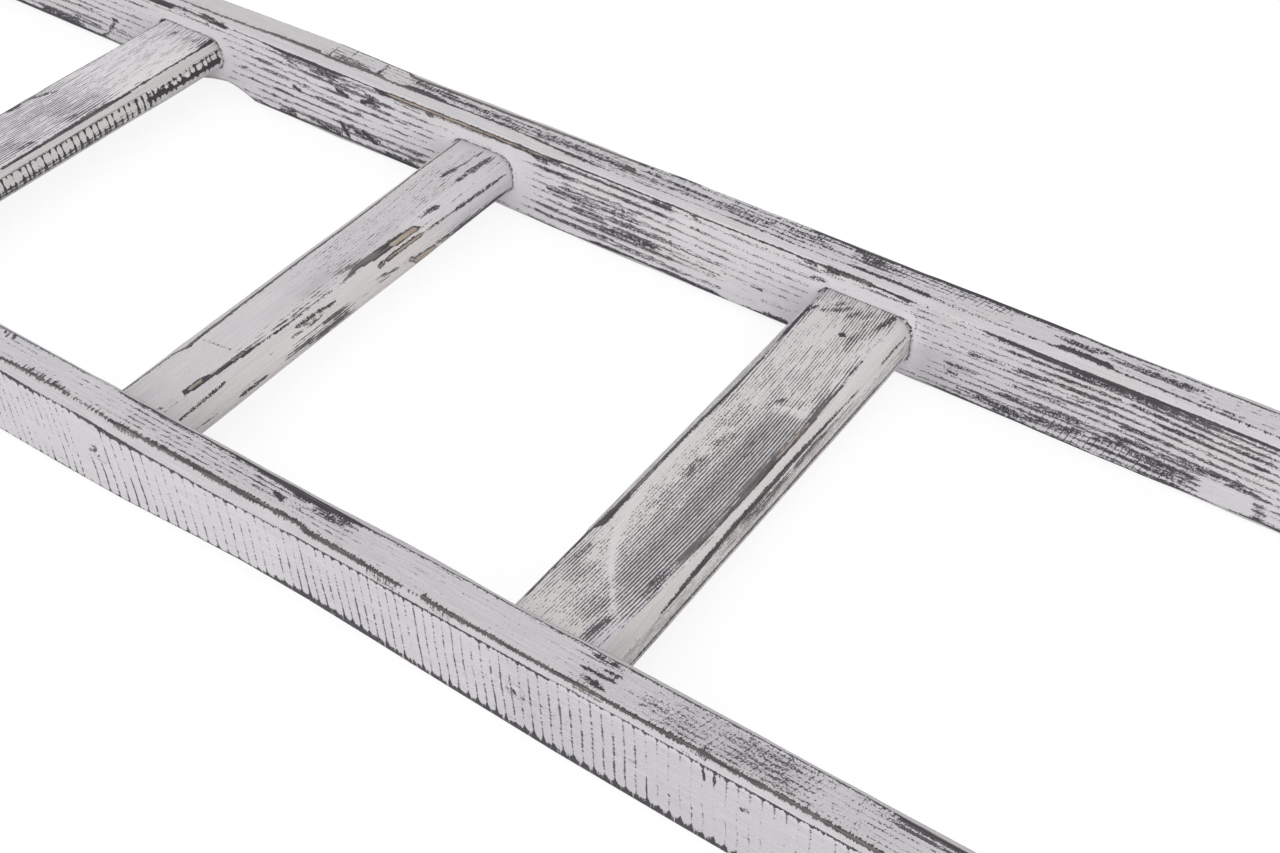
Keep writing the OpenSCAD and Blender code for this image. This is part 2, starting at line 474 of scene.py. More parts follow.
def make_whitewash(name, roughness, relief):
    """White over dark wax over pine: the finish of the rails, the rungs and the filler."""
    material, w, shader = new_material(name)
    grain = w.add("ShaderNodeUVMap")
    grain.uv_map = "grain"
    split = w.add("ShaderNodeSeparateXYZ", Vector=grain.outputs[0]).outputs
    along, across = w.times(split[0], 1 / MM), w.times(split[1], 1 / MM)
    place = {"Along": along, "Across": across}
    value = {name: w.attribute(name) for name in Surface.NAMES}
    gap = w.group(dry_brush, Ring=value["ring_phase"], Ring_share=value["ring_share"], Ridge=value["ridge_phase"],
                  Ridge_share=value["ridge_share"], Dry=value["dry"], Speckle=value["speckle"], **place)["Gap"]
    worn = w.group(worn_edge, Worn=value["worn"], Bare=value["bare"], Ridge=value["ridge_phase"],
                   Teeth=value["teeth"], Fur=value["fur"], **place)
    white = w.group(white_coat, Warmth=value["warmth"], Thin=value["thin"], **place)["Color"]
    pine = w.group(bare_pine, **place)["Color"]
    wax = w.group(dark_wax, Rubbed=value["rubbed"], **place)["Color"]
    dark = w.math("MAXIMUM", w.times(gap, GAP_DEPTH), w.times(worn["Dark"], WORN_SHOWS))
    w.put(shader["Base Color"], w.blend(worn["Pine"], w.blend(dark, white, wax), pine))
    w.put(shader["Roughness"], roughness)
    w.put(shader["Specular IOR Level"], GLOSS)
    planed = w.math("COSINE", w.times(value["ridge_phase"], 2 * math.pi))
    height = w.more(w.noise(along, across, BRUSH_RELIEF), BRUSH_HEIGHT,
                    w.times(w.math("MAXIMUM", dark, worn["Pine"]), WAX_STEP))
    height = w.more(w.times(planed, value["ridge_share"]), RIDGE_HEIGHT, height)
    w.put(shader["Normal"], w.add("ShaderNodeBump", Strength=relief, Distance=MM, Height=height).outputs[0])
    return material


def make_screw_steel():
    """Plain steel, dulled in patches."""
    material, w, shader = new_material("worn_screw_steel")
    place = w.add("ShaderNodeTexCoord").outputs["Object"]
    noise = w.add("ShaderNodeTexNoise", Vector=place, Scale=STEEL_GRAIN, Detail=4.0).outputs["Fac"]
    dull = w.ramp(noise, 0.35, 0.7)
    w.put(shader["Base Color"], w.blend(dull, BRIGHT_STEEL, DULL_STEEL))
    w.put(shader["Roughness"], w.more(dull, 0.2, 0.28))
    w.put(shader["Metallic"], 1.0)
    w.put(shader["Normal"], w.add("ShaderNodeBump", Distance=STEEL_RELIEF * MM, Height=noise).outputs[0])
    return material


rail_paint = make_whitewash("whitewashed_rail", roughness=0.62, relief=0.9)
rung_paint = make_whitewash("whitewashed_rung", roughness=0.60, relief=0.9)
filler_paint = make_whitewash("whitewashed_filler", roughness=0.66, relief=0.6)
screw_steel = make_screw_steel()


# ---- Meshes and pieces

# Share of the way round, at both sides of the seam, that a face across the seam stays within
SEAM_SHARE = 0.25


def store_grain(mesh, surface, shift, length_round):
    """The map that the finishes read: along the grain and round the piece, in metres."""
    corner = np.zeros(len(mesh.loops), np.int32)
    mesh.loops.foreach_get("vertex_index", corner)
    starts = np.zeros(len(mesh.polygons), np.int32)
    mesh.polygons.foreach_get("loop_start", starts)
    s = surface.s.ravel()[corner]
    # a face across the seam joins the end of the way round to its start
    far = np.repeat(np.maximum.reduceat(s, starts), np.diff(np.append(starts, len(corner))))
    s = np.where((far > (1 - SEAM_SHARE) * length_round) & (s < SEAM_SHARE * length_round), s + length_round, s)
    grain = np.stack([surface.u.ravel()[corner] + shift, s], -1) * MM
    mesh.uv_layers.new(name="grain").data.foreach_set("uv", grain.astype(np.float32).ravel())
    surface.store(mesh)


# Sharpest turn of the surface that is shaded smooth
SMOOTH_ANGLE = math.radians(38)


def finish_mesh(mesh):
    """Faces outwards, shaded smooth except across real edges."""
    shape = bmesh.new()
    shape.from_mesh(mesh)
    bmesh.ops.recalc_face_normals(shape, faces=shape.faces)
    shape.to_mesh(mesh)
    shape.free()
    mesh.polygons.foreach_set("use_smooth", [True] * len(mesh.polygons))
    mesh.set_sharp_from_angle(angle=SMOOTH_ANGLE)
    mesh.update()


def add_piece(name, mesh, material, slot, *nodes):
    """Adds a finished mesh in place of the nodes it dresses."""
    piece = add_object(name, mesh)
    mesh.materials.clear()
    mesh.materials.append(material)
    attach(piece, "root")
    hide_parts(*nodes)


# ---- Rails

# Faces of a rail in order round it: front, near chamfer, near side, near back chamfer, back, far back chamfer,
# far side, far chamfer. Near is the side that faces the camera. w runs across the front from the far side, and
# d down from the front.
FACE_STEPS = (12, 5, 32, 5, 12, 5, 32, 5)
CHAMFER_WIDTH = EDGE_CHAMFER * math.sqrt(2)
FACE_WIDTH = (RAIL_THICKNESS - 2 * EDGE_CHAMFER, CHAMFER_WIDTH, RAIL_DEPTH - 2 * EDGE_CHAMFER, CHAMFER_WIDTH) * 2
FACE_START = tuple(np.concatenate([[0], np.cumsum(FACE_WIDTH)]))
# Ways round to where w is 0 on the front and d is 0 on the near side, and to the starts of three more faces
FRONT, NEAR = -EDGE_CHAMFER, FACE_START[2] - EDGE_CHAMFER
CHAMFER, BACK, FAR = FACE_START[1], FACE_START[4], FACE_START[6]
# Rings of points along a rail
RAIL_SECTIONS = 850
# Number that stands for a sawn end, and how far the outer rings of a face lie from its edges
END_GRAIN, EDGE_LOOP = -1, 0.7
# Rings of a sawn end: how far each is drawn in towards the middle, and how far it reaches out
END_PULLS = ((0.05, 1.2), (0.12, 2.0), (0.35, 2.0), (0.6, 2.0), (0.9, 2.0))
# Reach of the wear beside the start and the end of each face: a key of the rail, or a typical reach
EDGE_WEAR = (("wear_front_far", "wear_front_near"), (0.3, 0.3), ("wear_near_top", "wear_near_bottom"), (1.6, 0.8),
             (1.4, 1.4), (0.8, 0.8), (1.2, 1.4), (0.5, 0.5))
# Deepest edge wear, and how far it reaches at most, and over what span, where the photograph doesn't show an edge
DEEPEST_WEAR, UNSEEN_REACH, UNSEEN_SPAN = 1.5, 3.2, 45
# The far rail's inner side: place, half length and rise of the rings' dip, and where and how close they close up
DIP_X, DIP_LENGTH, DIP_RISE = 615, 60, 3.2
CLOSE_X, CLOSE_PITCH = 450, 5.2
# Heart of the tree off the sawn ends, as w and d, and the pitch of its rings there
HEART_W, HEART_D, HEART_PITCH = -40, 62, 3.1

# Both rails: side of the ladder, place of the far face across it, how crisply the wear on the front's near edge ends,
# first place along the front and the near side that the photograph shows, place and length of the worked hollow,
# place along the grain of the map, seed, and then lines of keys, each a place along the rail and its value there
LEFT_RAIL = {
    "side": LEFT,
    "far_y": 192.5,
    "crisp": 1,
    "seen_from": (-230, -400),
    "hollow": (-118, 66),
    "shift": 0,
    "seed": 11,
    # how far each seen chamfer reaches across the front and down the near side, along the rail
    "front_far": [(-150, 7), (-100, 6.5), (-50, 5), (0, 4.5), (50, 6), (63, 6.3), (68, 8), (150, 7.5), (250, 6.5),
        (300, 5), (400, 5.6), (480, 5.6), (540, 5.3), (575, 5.5), (600, 6.5), (700, 7)],
    "front_near": [(-160, 5), (-100, 5), (-60, 6.6), (-15, 7), (0, 6.2), (50, 7), (75, 6.5), (110, 7), (160, 8),
        (200, 5.5), (240, 4.5), (270, 5.5), (350, 5.5), (450, 5.3), (600, 5.3), (700, 4)],
    "near_front": [(-200, 4), (-150, 2.5), (-100, 4), (-50, 5), (0, 5.3), (45, 5.5), (55, 5.6), (100, 5.3),
        (200, 5.3), (250, 4.2), (400, 4), (480, 4), (540, 4.6), (600, 4.6), (700, 5)],
    # how far the wear reaches from the arrises: on the front from its far and near edges, on the near side from
    # its top and bottom edges
    "wear_front_far": [(-10, 0), (-5, 0.9), (60, 1), (64, 3), (70, 2.6), (150, 2.6), (265, 2), (272, 0.8), (286, 0),
        (289, 1.5), (310, 1.5), (314, 0.2), (395, 0.3), (402, 2), (430, 2.4), (480, 3), (500, 3.2), (560, 3.4),
        (578, 3.4), (581, 2), (615, 2), (640, 1), (700, 1.4)],
    "wear_front_near": [(-165, 1), (-120, 2), (-80, 2.2), (-60, 3.2), (-14, 4), (-10, 2), (-2, 3.6), (46, 3.4),
        (52, 1.6), (68, 2.2), (74, 4.6), (98, 4.6), (110, 2.2), (150, 1.5), (170, 1), (190, 2.2), (235, 2.2),
        (250, 0.5), (262, 0), (395, 0), (430, 0.8), (440, 2.5), (490, 3), (493, 0.6), (530, 0.8), (572, 1),
        (578, 4.6), (608, 4.6), (612, 1.5), (660, 1.6), (700, 1.2)],
    "wear_near_top": [(-216, 0.5), (-200, 3), (-186, 5.2), (-160, 5.4), (-155, 1), (-120, 0.8), (-119, 3), (-101, 3),
        (-99, 0.5), (-65, 0.6), (-52, 2), (-40, 3.2), (13, 2.8), (20, 0.8), (46, 0.8), (52, 4.5), (60, 3.8), (75, 3),
        (188, 3), (212, 3), (216, 1.2), (400, 1.2), (470, 1.6), (479, 3.2), (482, 1.2), (488, 0), (528, 0.3),
        (536, 1.8), (545, 2.6), (600, 2.8), (655, 2.6), (700, 2.2)],
    "wear_near_bottom": [(-350, 3), (-290, 3.5), (-260, 2), (-240, 1.5), (-150, 0.5), (-80, 1), (-70, 1.8), (0, 1.8),
        (85, 2.2), (90, 0.5), (170, 0.3), (230, 1.2), (240, 2), (340, 2), (350, 0.4), (370, 1.5), (398, 1.8),
        (402, 0.3), (490, 0.3), (510, 1.4), (675, 1.4), (690, 0.5), (712, 1.8)],
    # ring pitch and share, ridge pitch and share, dryness and speckle of each flat face
    "faces": {0: (3.4, 0.22, 3.3, 0.04, 0.2, 0.1), 2: (6.7, 0.52, 4, 0.02, 0.16, 0.9),
        4: (5, 0.5, 6.4, 0.05, 0.3, 0.5), 6: (9, 0.15, 6.4, 0.36, 0.22, 0.6)},
    # how grey each chamfer's white is: partly thin paint, partly painted shade that dims the chamfers the lamp lights
    # most
    "chamfer_thin": {1: 0.08, 3: 0.3, 5: 0.2, 7: 0.2},
}

RIGHT_RAIL = {
    "side": RIGHT,
    "far_y": -162.5,
    "crisp": 2.2,
    "seen_from": (0, 0),
    "hollow": (285, 290),
    "shift": 2400,
    "seed": 23,
    "front_far": [(35, 4.5), (100, 4.8), (200, 5), (300, 5.2), (340, 6), (400, 5), (500, 5), (600, 4.5), (680, 5.5)],
    "front_near": [(60, 5), (85, 5.4), (110, 6), (150, 4.6), (158, 3.6), (180, 3.6), (200, 3.8), (250, 3.4),
        (290, 4.4), (302, 4.6), (307, 2.2), (350, 1.6), (372, 1.2), (378, 2.4), (388, 2.6), (391, 1.4), (450, 1.2),
        (500, 1.6), (560, 2), (600, 2), (650, 1.4)],
    # how far the worn back arris and its hollow reach up the near side
    "near_back": [(-700, 5), (0, 4.5), (60, 4.4), (100, 4.2), (150, 5), (180, 7.2), (215, 10), (250, 12), (300, 11.3),
        (350, 8.8), (400, 5.8), (470, 2.4), (550, 1.6), (700, 1.6)],
    "near_front": [(65, 4.2), (95, 5.5), (125, 4.6), (140, 4.6), (160, 6), (185, 7.3), (250, 7.6), (295, 6), (300, 5),
        (350, 4.8), (420, 5.4), (472, 5.6), (480, 4.8), (560, 5.2), (650, 4.8)],
    "wear_front_far": [(30, 0.9), (112, 0.9), (118, 0.3), (138, 0.3), (142, 1), (150, 1.6), (220, 1.4), (240, 2),
        (268, 3.4), (285, 5), (305, 4.6), (322, 2.6), (335, 1.2), (350, 0.9), (440, 0.8), (500, 1), (600, 0.8),
        (654, 1), (658, 2.5), (690, 2.5)],
    "wear_front_near": [(58, 2.2), (85, 2.6), (110, 1.6), (114, 1), (150, 0.9), (156, 2.6), (180, 3.4), (250, 3.6),
        (285, 3.2), (303, 2.8), (307, 3.6), (350, 3), (374, 2), (377, 0), (387, 0), (389, 4), (394, 3), (430, 2.4),
        (470, 2.4), (490, 3), (500, 2.2), (540, 2.8), (600, 2.6), (650, 3)],
    "wear_near_top": [(60, 1.2), (68, 2.8), (93, 2.8), (96, 1.2), (118, 1), (128, 1.2), (133, 2.4), (150, 4),
        (160, 4.2), (175, 3), (182, 1.6), (250, 1.1), (262, 0.6), (290, 0.6), (298, 1.4), (350, 1.3), (472, 1.7),
        (478, 0.8), (560, 0.9), (568, 1.5), (650, 1.4)],
    "wear_near_bottom": [(40, 1), (115, 1.2), (118, 0.6), (130, 0.6), (140, 1.2), (200, 1.2), (262, 2), (285, 5),
        (310, 6.2), (345, 6.4), (372, 4.8), (420, 4.6), (470, 5.6), (540, 5.6), (580, 5), (650, 4.4)],
    "faces": {0: (3.3, 0.36, 3.6, 0.05, 0.17, 0.55), 2: (12, 0.1, None, 0.38, 0.13, 0.75),
        4: (5, 0.5, 6.4, 0.05, 0.3, 0.5), 6: (6.2, 0.5, 4, 0.03, 0.2, 0.6)},
    # how grey each chamfer's white is: partly thin paint, partly painted shade that dims the chamfers the lamp lights
    # most
    "chamfer_thin": {1: 0.28, 3: 0.44, 5: 0.2, 7: 0.25},
}

# count of the planer's ridges along the near rail's outer side
RIDGE_COUNT = [(-800, -124.5), (0, 0.3), (125, 19.8), (255, 35.3), (290, 40.3), (470, 69.3), (800, 119.3)]


def rail_outline(rail, x):
    """The eight corners of the rail's section at x, each as w and d."""
    seed, t, depth, zero = rail["seed"], RAIL_THICKNESS, RAIL_DEPTH, 0 * x

    def reach(k, name=None):
        """How far corner k lies from where its two faces would meet."""
        if name:
            return along_keys(x, rail[name]) + 0.25 * wander(x, seed + 20 + k, 14)
        return EDGE_CHAMFER + 0.9 * wander(x, seed + k, 70) + 0.3 * wander(x, seed + 20 + k, 18)

    place, length = rail["hollow"]
    radius = ((length / 2) ** 2 + HOLLOW_DEPTH ** 2) / (2 * HOLLOW_DEPTH)
    off = np.minimum(np.abs(x - place), length / 2)
    hollow = math.sqrt(2) * (np.sqrt(radius ** 2 - off ** 2) - radius + HOLLOW_DEPTH)
    near_back = along_keys(x, rail["near_back"]) if "near_back" in rail else reach(3) + hollow
    return [
        (reach(0, "front_far"), zero), (t - reach(1, "front_near"), zero),
        (zero + t, reach(2, "near_front")), (zero + t, depth - near_back),
        (t - reach(4) - hollow, zero + depth), (reach(5), zero + depth),
        (zero, depth - reach(6)), (zero, reach(7)),
    ]


def wear_rail_edges(rail, surface, w, d, face):
    """Wear beside both edges of every face of a rail."""
    u, seed, corners = surface.u, rail["seed"], rail_outline(rail, surface.u)
    for number, reaches in enumerate(EDGE_WEAR):
        for end, reach in enumerate(reaches):
            corner_w, corner_d = corners[(number + end) % 8]
            off = np.hypot(w - corner_w, d - corner_d)
            crisp = rail["crisp"] if reach == "wear_front_near" else 1.0
            if isinstance(reach, str):
                unseen = ease((rail["seen_from"][number // 2] - u) / 40)
                reach = along_keys(u, rail[reach]) - 0.2
                reach += UNSEEN_REACH * unseen * np.maximum(0, wander(u, seed + 80 + 2 * number + end, UNSEEN_SPAN))
            else:
                reach = reach * (0.2 + 1.6 * np.maximum(0, wander(u, seed + 50 + 2 * number + end, 32)))
            depth = np.where(face == number, crisp * np.minimum(reach - off, DEEPEST_WEAR), UNWORN)
            surface.worn = np.maximum(surface.worn, depth)
            surface.rubbed += np.where(face == number, 0.22 * ease(1 - off / 5), 0)


def rail_surface(rail, u, s, w, d, face):
    """The finish of a rail before its own marks: faces, edge wear, and the joint lines round the rungs."""
    surface = Surface(u, s)

    def patches(k, span_u, span_s):
        return cloud(u, s, rail["seed"] + k, span_u, span_s)

    for number, (pitch, rings, ridge_pitch, ridges, dry, speckle) in rail["faces"].items():
        across = s - FACE_START[number]
        if number == 2 and rail is LEFT_RAIL:
            # the rings of the far rail's inner side dip and close up past the fourth rung
            across = across - 1.2 + DIP_RISE * np.exp(-((u - DIP_X) / DIP_LENGTH) ** 2)
            pitch = np.where(u < CLOSE_X, pitch, CLOSE_PITCH)
        ridge = (u + 0.35 * s) / ridge_pitch if ridge_pitch else along_keys(u, RIDGE_COUNT)
        for name, value in (("ring_phase", across / pitch + 0.35 * patches(31, 130, 22)), ("ring_share", rings),
                            ("ridge_phase", ridge), ("ridge_share", ridges), ("dry", dry), ("speckle", speckle)):
            setattr(surface, name, np.where(face == number, value, getattr(surface, name)))
    surface.ridge_phase += 0.10 * patches(32, 40, 18)
    surface.dry += 0.08 * patches(33, 95, 12) + 0.05 * patches(34, 26, 4)
    surface.warmth += 0.1 + 0.3 * patches(35, 160, 30)
    surface.rubbed += 0.12
    # each chamfer greyed, for thin paint and for painted shade
    for number, thin in rail["chamfer_thin"].items():
        surface.thin = np.where(face == number, thin, surface.thin)
    wear_rail_edges(rail, surface, w, d, face)
    inner = np.abs(w - (RAIL_THICKNESS if rail["side"] == LEFT else 0)) < 0.01
    for i in RUNGS:
        # the brush loaded the corner round each rung; the dark line round each rung in the joint is partly wax and
        # partly painted shade in the joint's gap
        half_width, half_thickness = RUNG_WIDTH[i] / 2, RUNG_THICKNESS[i] / 2
        dx = np.abs(u - RUNG_X[i] - rail["side"] * RUNG_SKEW[i] / 2) - half_width + RUNG_ROUND
        dz = np.abs(d - RAIL_DEPTH + RUNG_FRONT_Z - half_thickness) - half_thickness + RUNG_ROUND
        off = np.hypot(np.maximum(dx, 0), np.maximum(dz, 0)) + np.minimum(np.maximum(dx, dz), 0) - RUNG_ROUND
        surface.cover(0.9 * ease(1.1 - off / 12) * inner * (off > 1.2))
        line = np.maximum(surface.worn, 0.8 - np.abs(off))
        surface.worn = np.where(inner & (np.abs(off) < 4), line, surface.worn)
    return surface


def wear_left_rail(surface):
    """The marks of the far rail: its front, then its inner side from the foot end on."""
    surface.fur = np.where(surface.s < NEAR, 2.6, 1.2)
    surface.on(NEAR)
    # painted light: the far rail's inner side is whitened all along, where the near rail and the rungs shade it
    surface.shift("thin", (-800, 800, 4, 66, -0.6))
    # painted shade: greyer past the fourth rung, and beside that rung
    surface.shift("thin", (478, 900, 4, 66, 0.5), (470, 520, 34, 70, 0.3), soft_u=50)
    surface.on(FRONT)
    surface.strokes((-4.5, 8, -4.5, 20, 0.8), (11, 6.5, 11.5, 12, 0.8), (42, 7, 42.3, 21.5, 1.2),
        (45.5, 8, 46, 19, 0.7), (3, 17.5, 32, 18, 0.9), (65, 9, 71, 9, 1.8), (66, 12.5, 112, 12.5, 1),
        (70, 15, 160, 14.5, 1), (100, 17, 262, 16, 0.9), (150, 13, 258, 13.5, 0.8), (70, 20, 108, 21, 2.4),
        (136, 21.5, 182, 19, 0.8), (182, 19, 262, 16, 0.8), (104, 22, 170, 22, 0.9), (230, 17, 257, 17.5, 1.3),
        (268, 12.5, 330, 14.2, 1.5), (322, 14, 378, 15.8, 1.4), (242, 17.6, 330, 18.8, 1),
        (325, 18.6, 408, 20.5, 0.9), (346, 24, 392, 24.2, 0.6), (404, 9.5, 428, 9.5, 1.3), (425, 9.3, 462, 7.4, 1.3),
        (438, 11, 456, 11, 1.2), (438, 13.5, 470, 13, 1.3), (438, 16.5, 456, 16.5, 1.1), (570, 15.5, 606, 13, 1.6),
        (578, 17, 600, 16, 0.9), (606, 16.5, 640, 13.5, 1.4), (622, 17, 660, 15, 1.5), (636, 14.5, 662, 12.5, 1.2),
        (661, 21.5, 690, 22.5, 0.8), (262, 8.2, 404, 8, 0.6), (340, 11.4, 408, 11.8, 0.9), (378, 16, 436, 17.4, 1),
        (384, 13.6, 424, 14.2, 0.8))
    surface.strokes((256, 15, 267, 16.5, 2.3), solid=1.5)
    surface.shift("dry", (-8, 60, 7, 22, 0.1), (62, 262, 8, 24, 0.12), (250, 385, 11, 21, 0.11),
        (385, 430, 8, 24, 0.02), (432, 462, 8, 18, 0.26), (462, 540, 8, 15, 0.18), (500, 580, 8, 13, 0.1),
        (570, 665, 10, 19, 0.16), (-160, -20, 7, 21, -0.12), (2, 36, 16, 22, 0.16))
    surface.shift("ridge_share", (462, 540, 7, 17, 0.25))
    surface.shift("rubbed", (-165, 70, 19, 26, 0.3), (62, 270, 6, 11, 0.3), (252, 270, 12, 19, 0.35),
        (70, 110, 18, 24, 0.15))
    surface.shift("speckle", (-10, 60, 8, 22, 0.4), (432, 540, 8, 18, 0.3))
    # inner side, foot end to the second rung
    surface.on(NEAR)
    surface.strokes((-330, 57, -275, 60, 2.6), (-290, 52, -250, 54, 1.2), (-300, 42, -250, 40, 1),
        (-215, 17, -190, 16, 0.8), (-235, 43, -246, 56, 1.8), (-246, 57, -256, 62, 1.4), (-238, 41, -230, 41.5, 2),
        (-240, 52, -200, 52, 1), (-156, 7.5, -120, 9.5, 0.8), (-160, 4, -120, 3, 0.7), (-122, 6, -120, 10, 1.2),
        (-120, 5, -101, 3.5, 1.3))
    # between the second and third rungs
    surface.strokes((-43, 11.5, -30, 13.5, 1.3), (-20, 12, 12, 13.5, 1.6), (-10, 9.5, 14, 10.5, 1),
        (14, 13, 36, 12, 1.2), (36, 14, 48, 15, 1.5), (6, 20, 20, 23.5, 2.4), (30, 23.5, 44, 18, 2.4),
        (38, 21, 50, 21.5, 2.2), (40, 16, 46, 13.5, 1.4), (-76, 21.5, -54, 21.5, 1.1), (-44, 22, -20, 22.5, 0.9),
        (-68, 28.5, -38, 28.8, 1.4), (-38, 28.5, -18, 29, 1), (18, 30.5, 36, 31, 1.3), (36, 30, 62, 31, 1.5),
        (62, 26.5, 78, 26.5, 0.9), (-94, 35.5, -84, 34, 1.2), (-40, 33.5, -30, 36, 2), (-28, 36, -18, 37, 1.1),
        (-20, 35.5, 14, 36, 1.8), (10, 37, 32, 35.5, 1.6), (60, 36, 76, 37.5, 1.1), (-86, 43, -74, 43.5, 1.2),
        (-64, 42.5, -38, 43.2, 1.4), (-40, 43, 2, 44, 0.8), (6, 42.5, 22, 43, 1), (-64, 50, -60, 52, 1.1),
        (-54, 51, -42, 51.5, 1.2), (6, 48, 14, 61, 2.4), (10, 55, 20, 47.5, 1.7), (27, 48.5, 42, 57, 2.6),
        (34, 52, 46, 53, 1.6), (22, 51, 34, 54.5, 1.8), (62, 50.2, 90, 50, 1.2), (-56, 57, -22, 57, 1),
        (-30, 58, 10, 58.5, 1.5), (-20, 61.5, 6, 61.5, 1.4), (-60, 60.5, -38, 60.5, 1.4), (46, 60, 78, 60.5, 1.8),
        (70, 56.5, 88, 55, 1.6), (-96, 61, -74, 61, 0.9), (94, 10, 102, 10.5, 1.3), (62, 11, 90, 12, 0.7))
    surface.strokes((6, 20, 20, 23.5, 1.8), (30, 23.5, 44, 18, 1.8), (-40, 33.5, -30, 36, 1.6), (6, 48, 14, 61, 2),
        (27, 48.5, 42, 57, 2.2), (18, 52, 30, 55, 1.4), solid=1.2)
    surface.shift("dry", (-112, -80, 6, 60, -0.08), (-80, 60, 9, 60, 0.08), (-46, 20, 9, 16, 0.2),
        (0, 60, 14, 26, 0.14), (0, 92, 46, 62, 0.18), (-70, 0, 54, 63, 0.14), (50, 95, 13, 46, -0.06),
        (98, 130, 12, 60, -0.25), (-345, -255, 48, 64, 0.2), (-200, -112, 12, 50, -0.2))
    # between the third and fourth rungs
    surface.strokes((236, 47.5, 270, 45.5, 2.6), (262, 45.5, 296, 45, 2.4), (222, 48.5, 240, 48, 1),
        (200, 55.5, 262, 54.5, 1.7), (186, 54, 206, 56.5, 1.4), (260, 55, 300, 55, 1), (220, 39.5, 250, 39, 1.8),
        (246, 38, 300, 37.3, 1.5), (296, 37.5, 348, 38.5, 1), (198, 31.5, 246, 32.5, 1.8), (240, 31, 284, 31, 1.2),
        (210, 26, 244, 26.3, 1.4), (238, 25.5, 280, 25, 1.1), (194, 16, 228, 17, 1.8), (262, 16, 304, 15.5, 1.4),
        (190, 9.5, 204, 11, 1.8), (288, 8, 306, 8, 2.4), (230, 9, 286, 9, 0.9), (362, 44.5, 364, 44.6, 1.3),
        (366, 44.5, 378, 44, 1), (300, 45, 344, 46, 0.9), (372, 52.5, 400, 52, 0.8), (320, 7.5, 326, 8, 1.2),
        (405, 6, 416, 7, 1.2), (420, 7.5, 432, 6.5, 1.3), (410, 16, 424, 15, 1.3), (318, 16, 330, 16, 0.9),
        (236, 62, 280, 62.5, 1.4), (290, 62, 344, 62.5, 1.6), (378, 61.5, 398, 62, 1.9))
    surface.shift("dry", (188, 306, 5, 58, 0.14), (206, 306, 6, 12, 0.16), (196, 306, 14, 20, 0.14),
        (210, 300, 29, 35, 0.1), soft_u=5)
    surface.shift("dry", (306, 350, 5, 60, -0.01), (345, 410, 8, 60, -0.08), (345, 400, 46, 62, -0.2),
        (165, 188, 8, 62, -0.2))
    # past the fourth rung
    surface.strokes((508, 40, 531, 40, 1.6), (545, 12.5, 562, 11.5, 1.3), (562, 11, 606, 10.5, 0.9),
        (568, 17.5, 606, 15, 1.4), (604, 15, 622, 15.5, 1.6), (626, 15, 652, 16, 1.6), (650, 16.5, 678, 17.5, 1.5),
        (687, 17, 714, 18, 1.7), (522, 26, 548, 24, 1.4), (552, 24.5, 582, 22.5, 1.5), (580, 22, 622, 21, 1.7),
        (640, 21.5, 684, 23, 1.6), (700, 24, 712, 24, 1.6), (588, 29, 606, 27.5, 1), (604, 27.5, 640, 27, 0.9),
        (622, 34, 648, 33.5, 1.8), (650, 35, 658, 32, 1.6), (552, 37, 590, 35, 1.1), (616, 44, 645, 42.5, 2.4),
        (564, 46, 616, 44.5, 1.5), (645, 42.5, 690, 43, 1.4), (684, 41, 716, 46, 1.6), (690, 44.5, 718, 45.5, 1.4),
        (542, 48, 566, 46, 1.4), (622, 47.5, 640, 51, 2.6), (636, 50, 676, 51.5, 2.4), (608, 52, 624, 48, 2.2),
        (588, 54, 604, 50, 1.8), (528, 57.5, 562, 57, 2), (562, 56.5, 600, 54.5, 2), (518, 57, 528, 57.5, 1),
        (540, 60.5, 570, 60.5, 1.2), (600, 57, 670, 57, 1.6), (690, 61.5, 716, 61, 1.4), (509, 46, 520, 47, 1.3),
        (640, 62, 668, 62, 1.2), (560, 6, 600, 9, 1.2), (585, 8.5, 655, 9, 2))
    surface.shift("dry", (488, 530, 6, 60, -0.08), (560, 715, 6, 48, 0.14), (640, 730, 8, 60, 0.08),
        (560, 680, 5, 12, 0.24), (560, 678, 47, 64, 0.22), (500, 560, 52, 62, 0.12), (510, 560, 43, 50, 0.08))
    surface.shift("dry", (677, 708, 46, 61.5, -0.6), soft_u=4)
    surface.shift("worn", (677, 709, 47, 61, -3), soft_u=4)
    surface.smudges((709, 50, 716, 60, 4))
    surface.shift("ridge_share", (570, 672, 50, 64, 0.5))
    surface.bared((57, 6.4, 140, 6.2, 1.2), (130, 6.2, 210, 6.8, 1.1), (421, 4.8, 456, 4.8, 0.5),
        (-128, 2.8, -113, 3.8, 0.6))
    # places that the photograph doesn't show
    surface.on(FRONT)
    surface.scatter(61, 34, -735, -260, 7, 23)
    surface.on(NEAR)
    surface.scatter(62, 70, -735, -440, 6, 62)
    surface.on(FAR)
    surface.scatter(63, 90, -735, 680, 4, 55)
    surface.on(BACK)
    surface.scatter(64, 40, -735, 680, 3, 17)
    # lines of the layout, scribed before the painting
    surface.on(NEAR)
    surface.strokes((484, 19, 498, 20.5, 0.4), (486.5, 9, 487, 26, 0.4), (-109.5, 10, -109, 48, 0.15),
        (173, 12, 173, 46, 0.15))


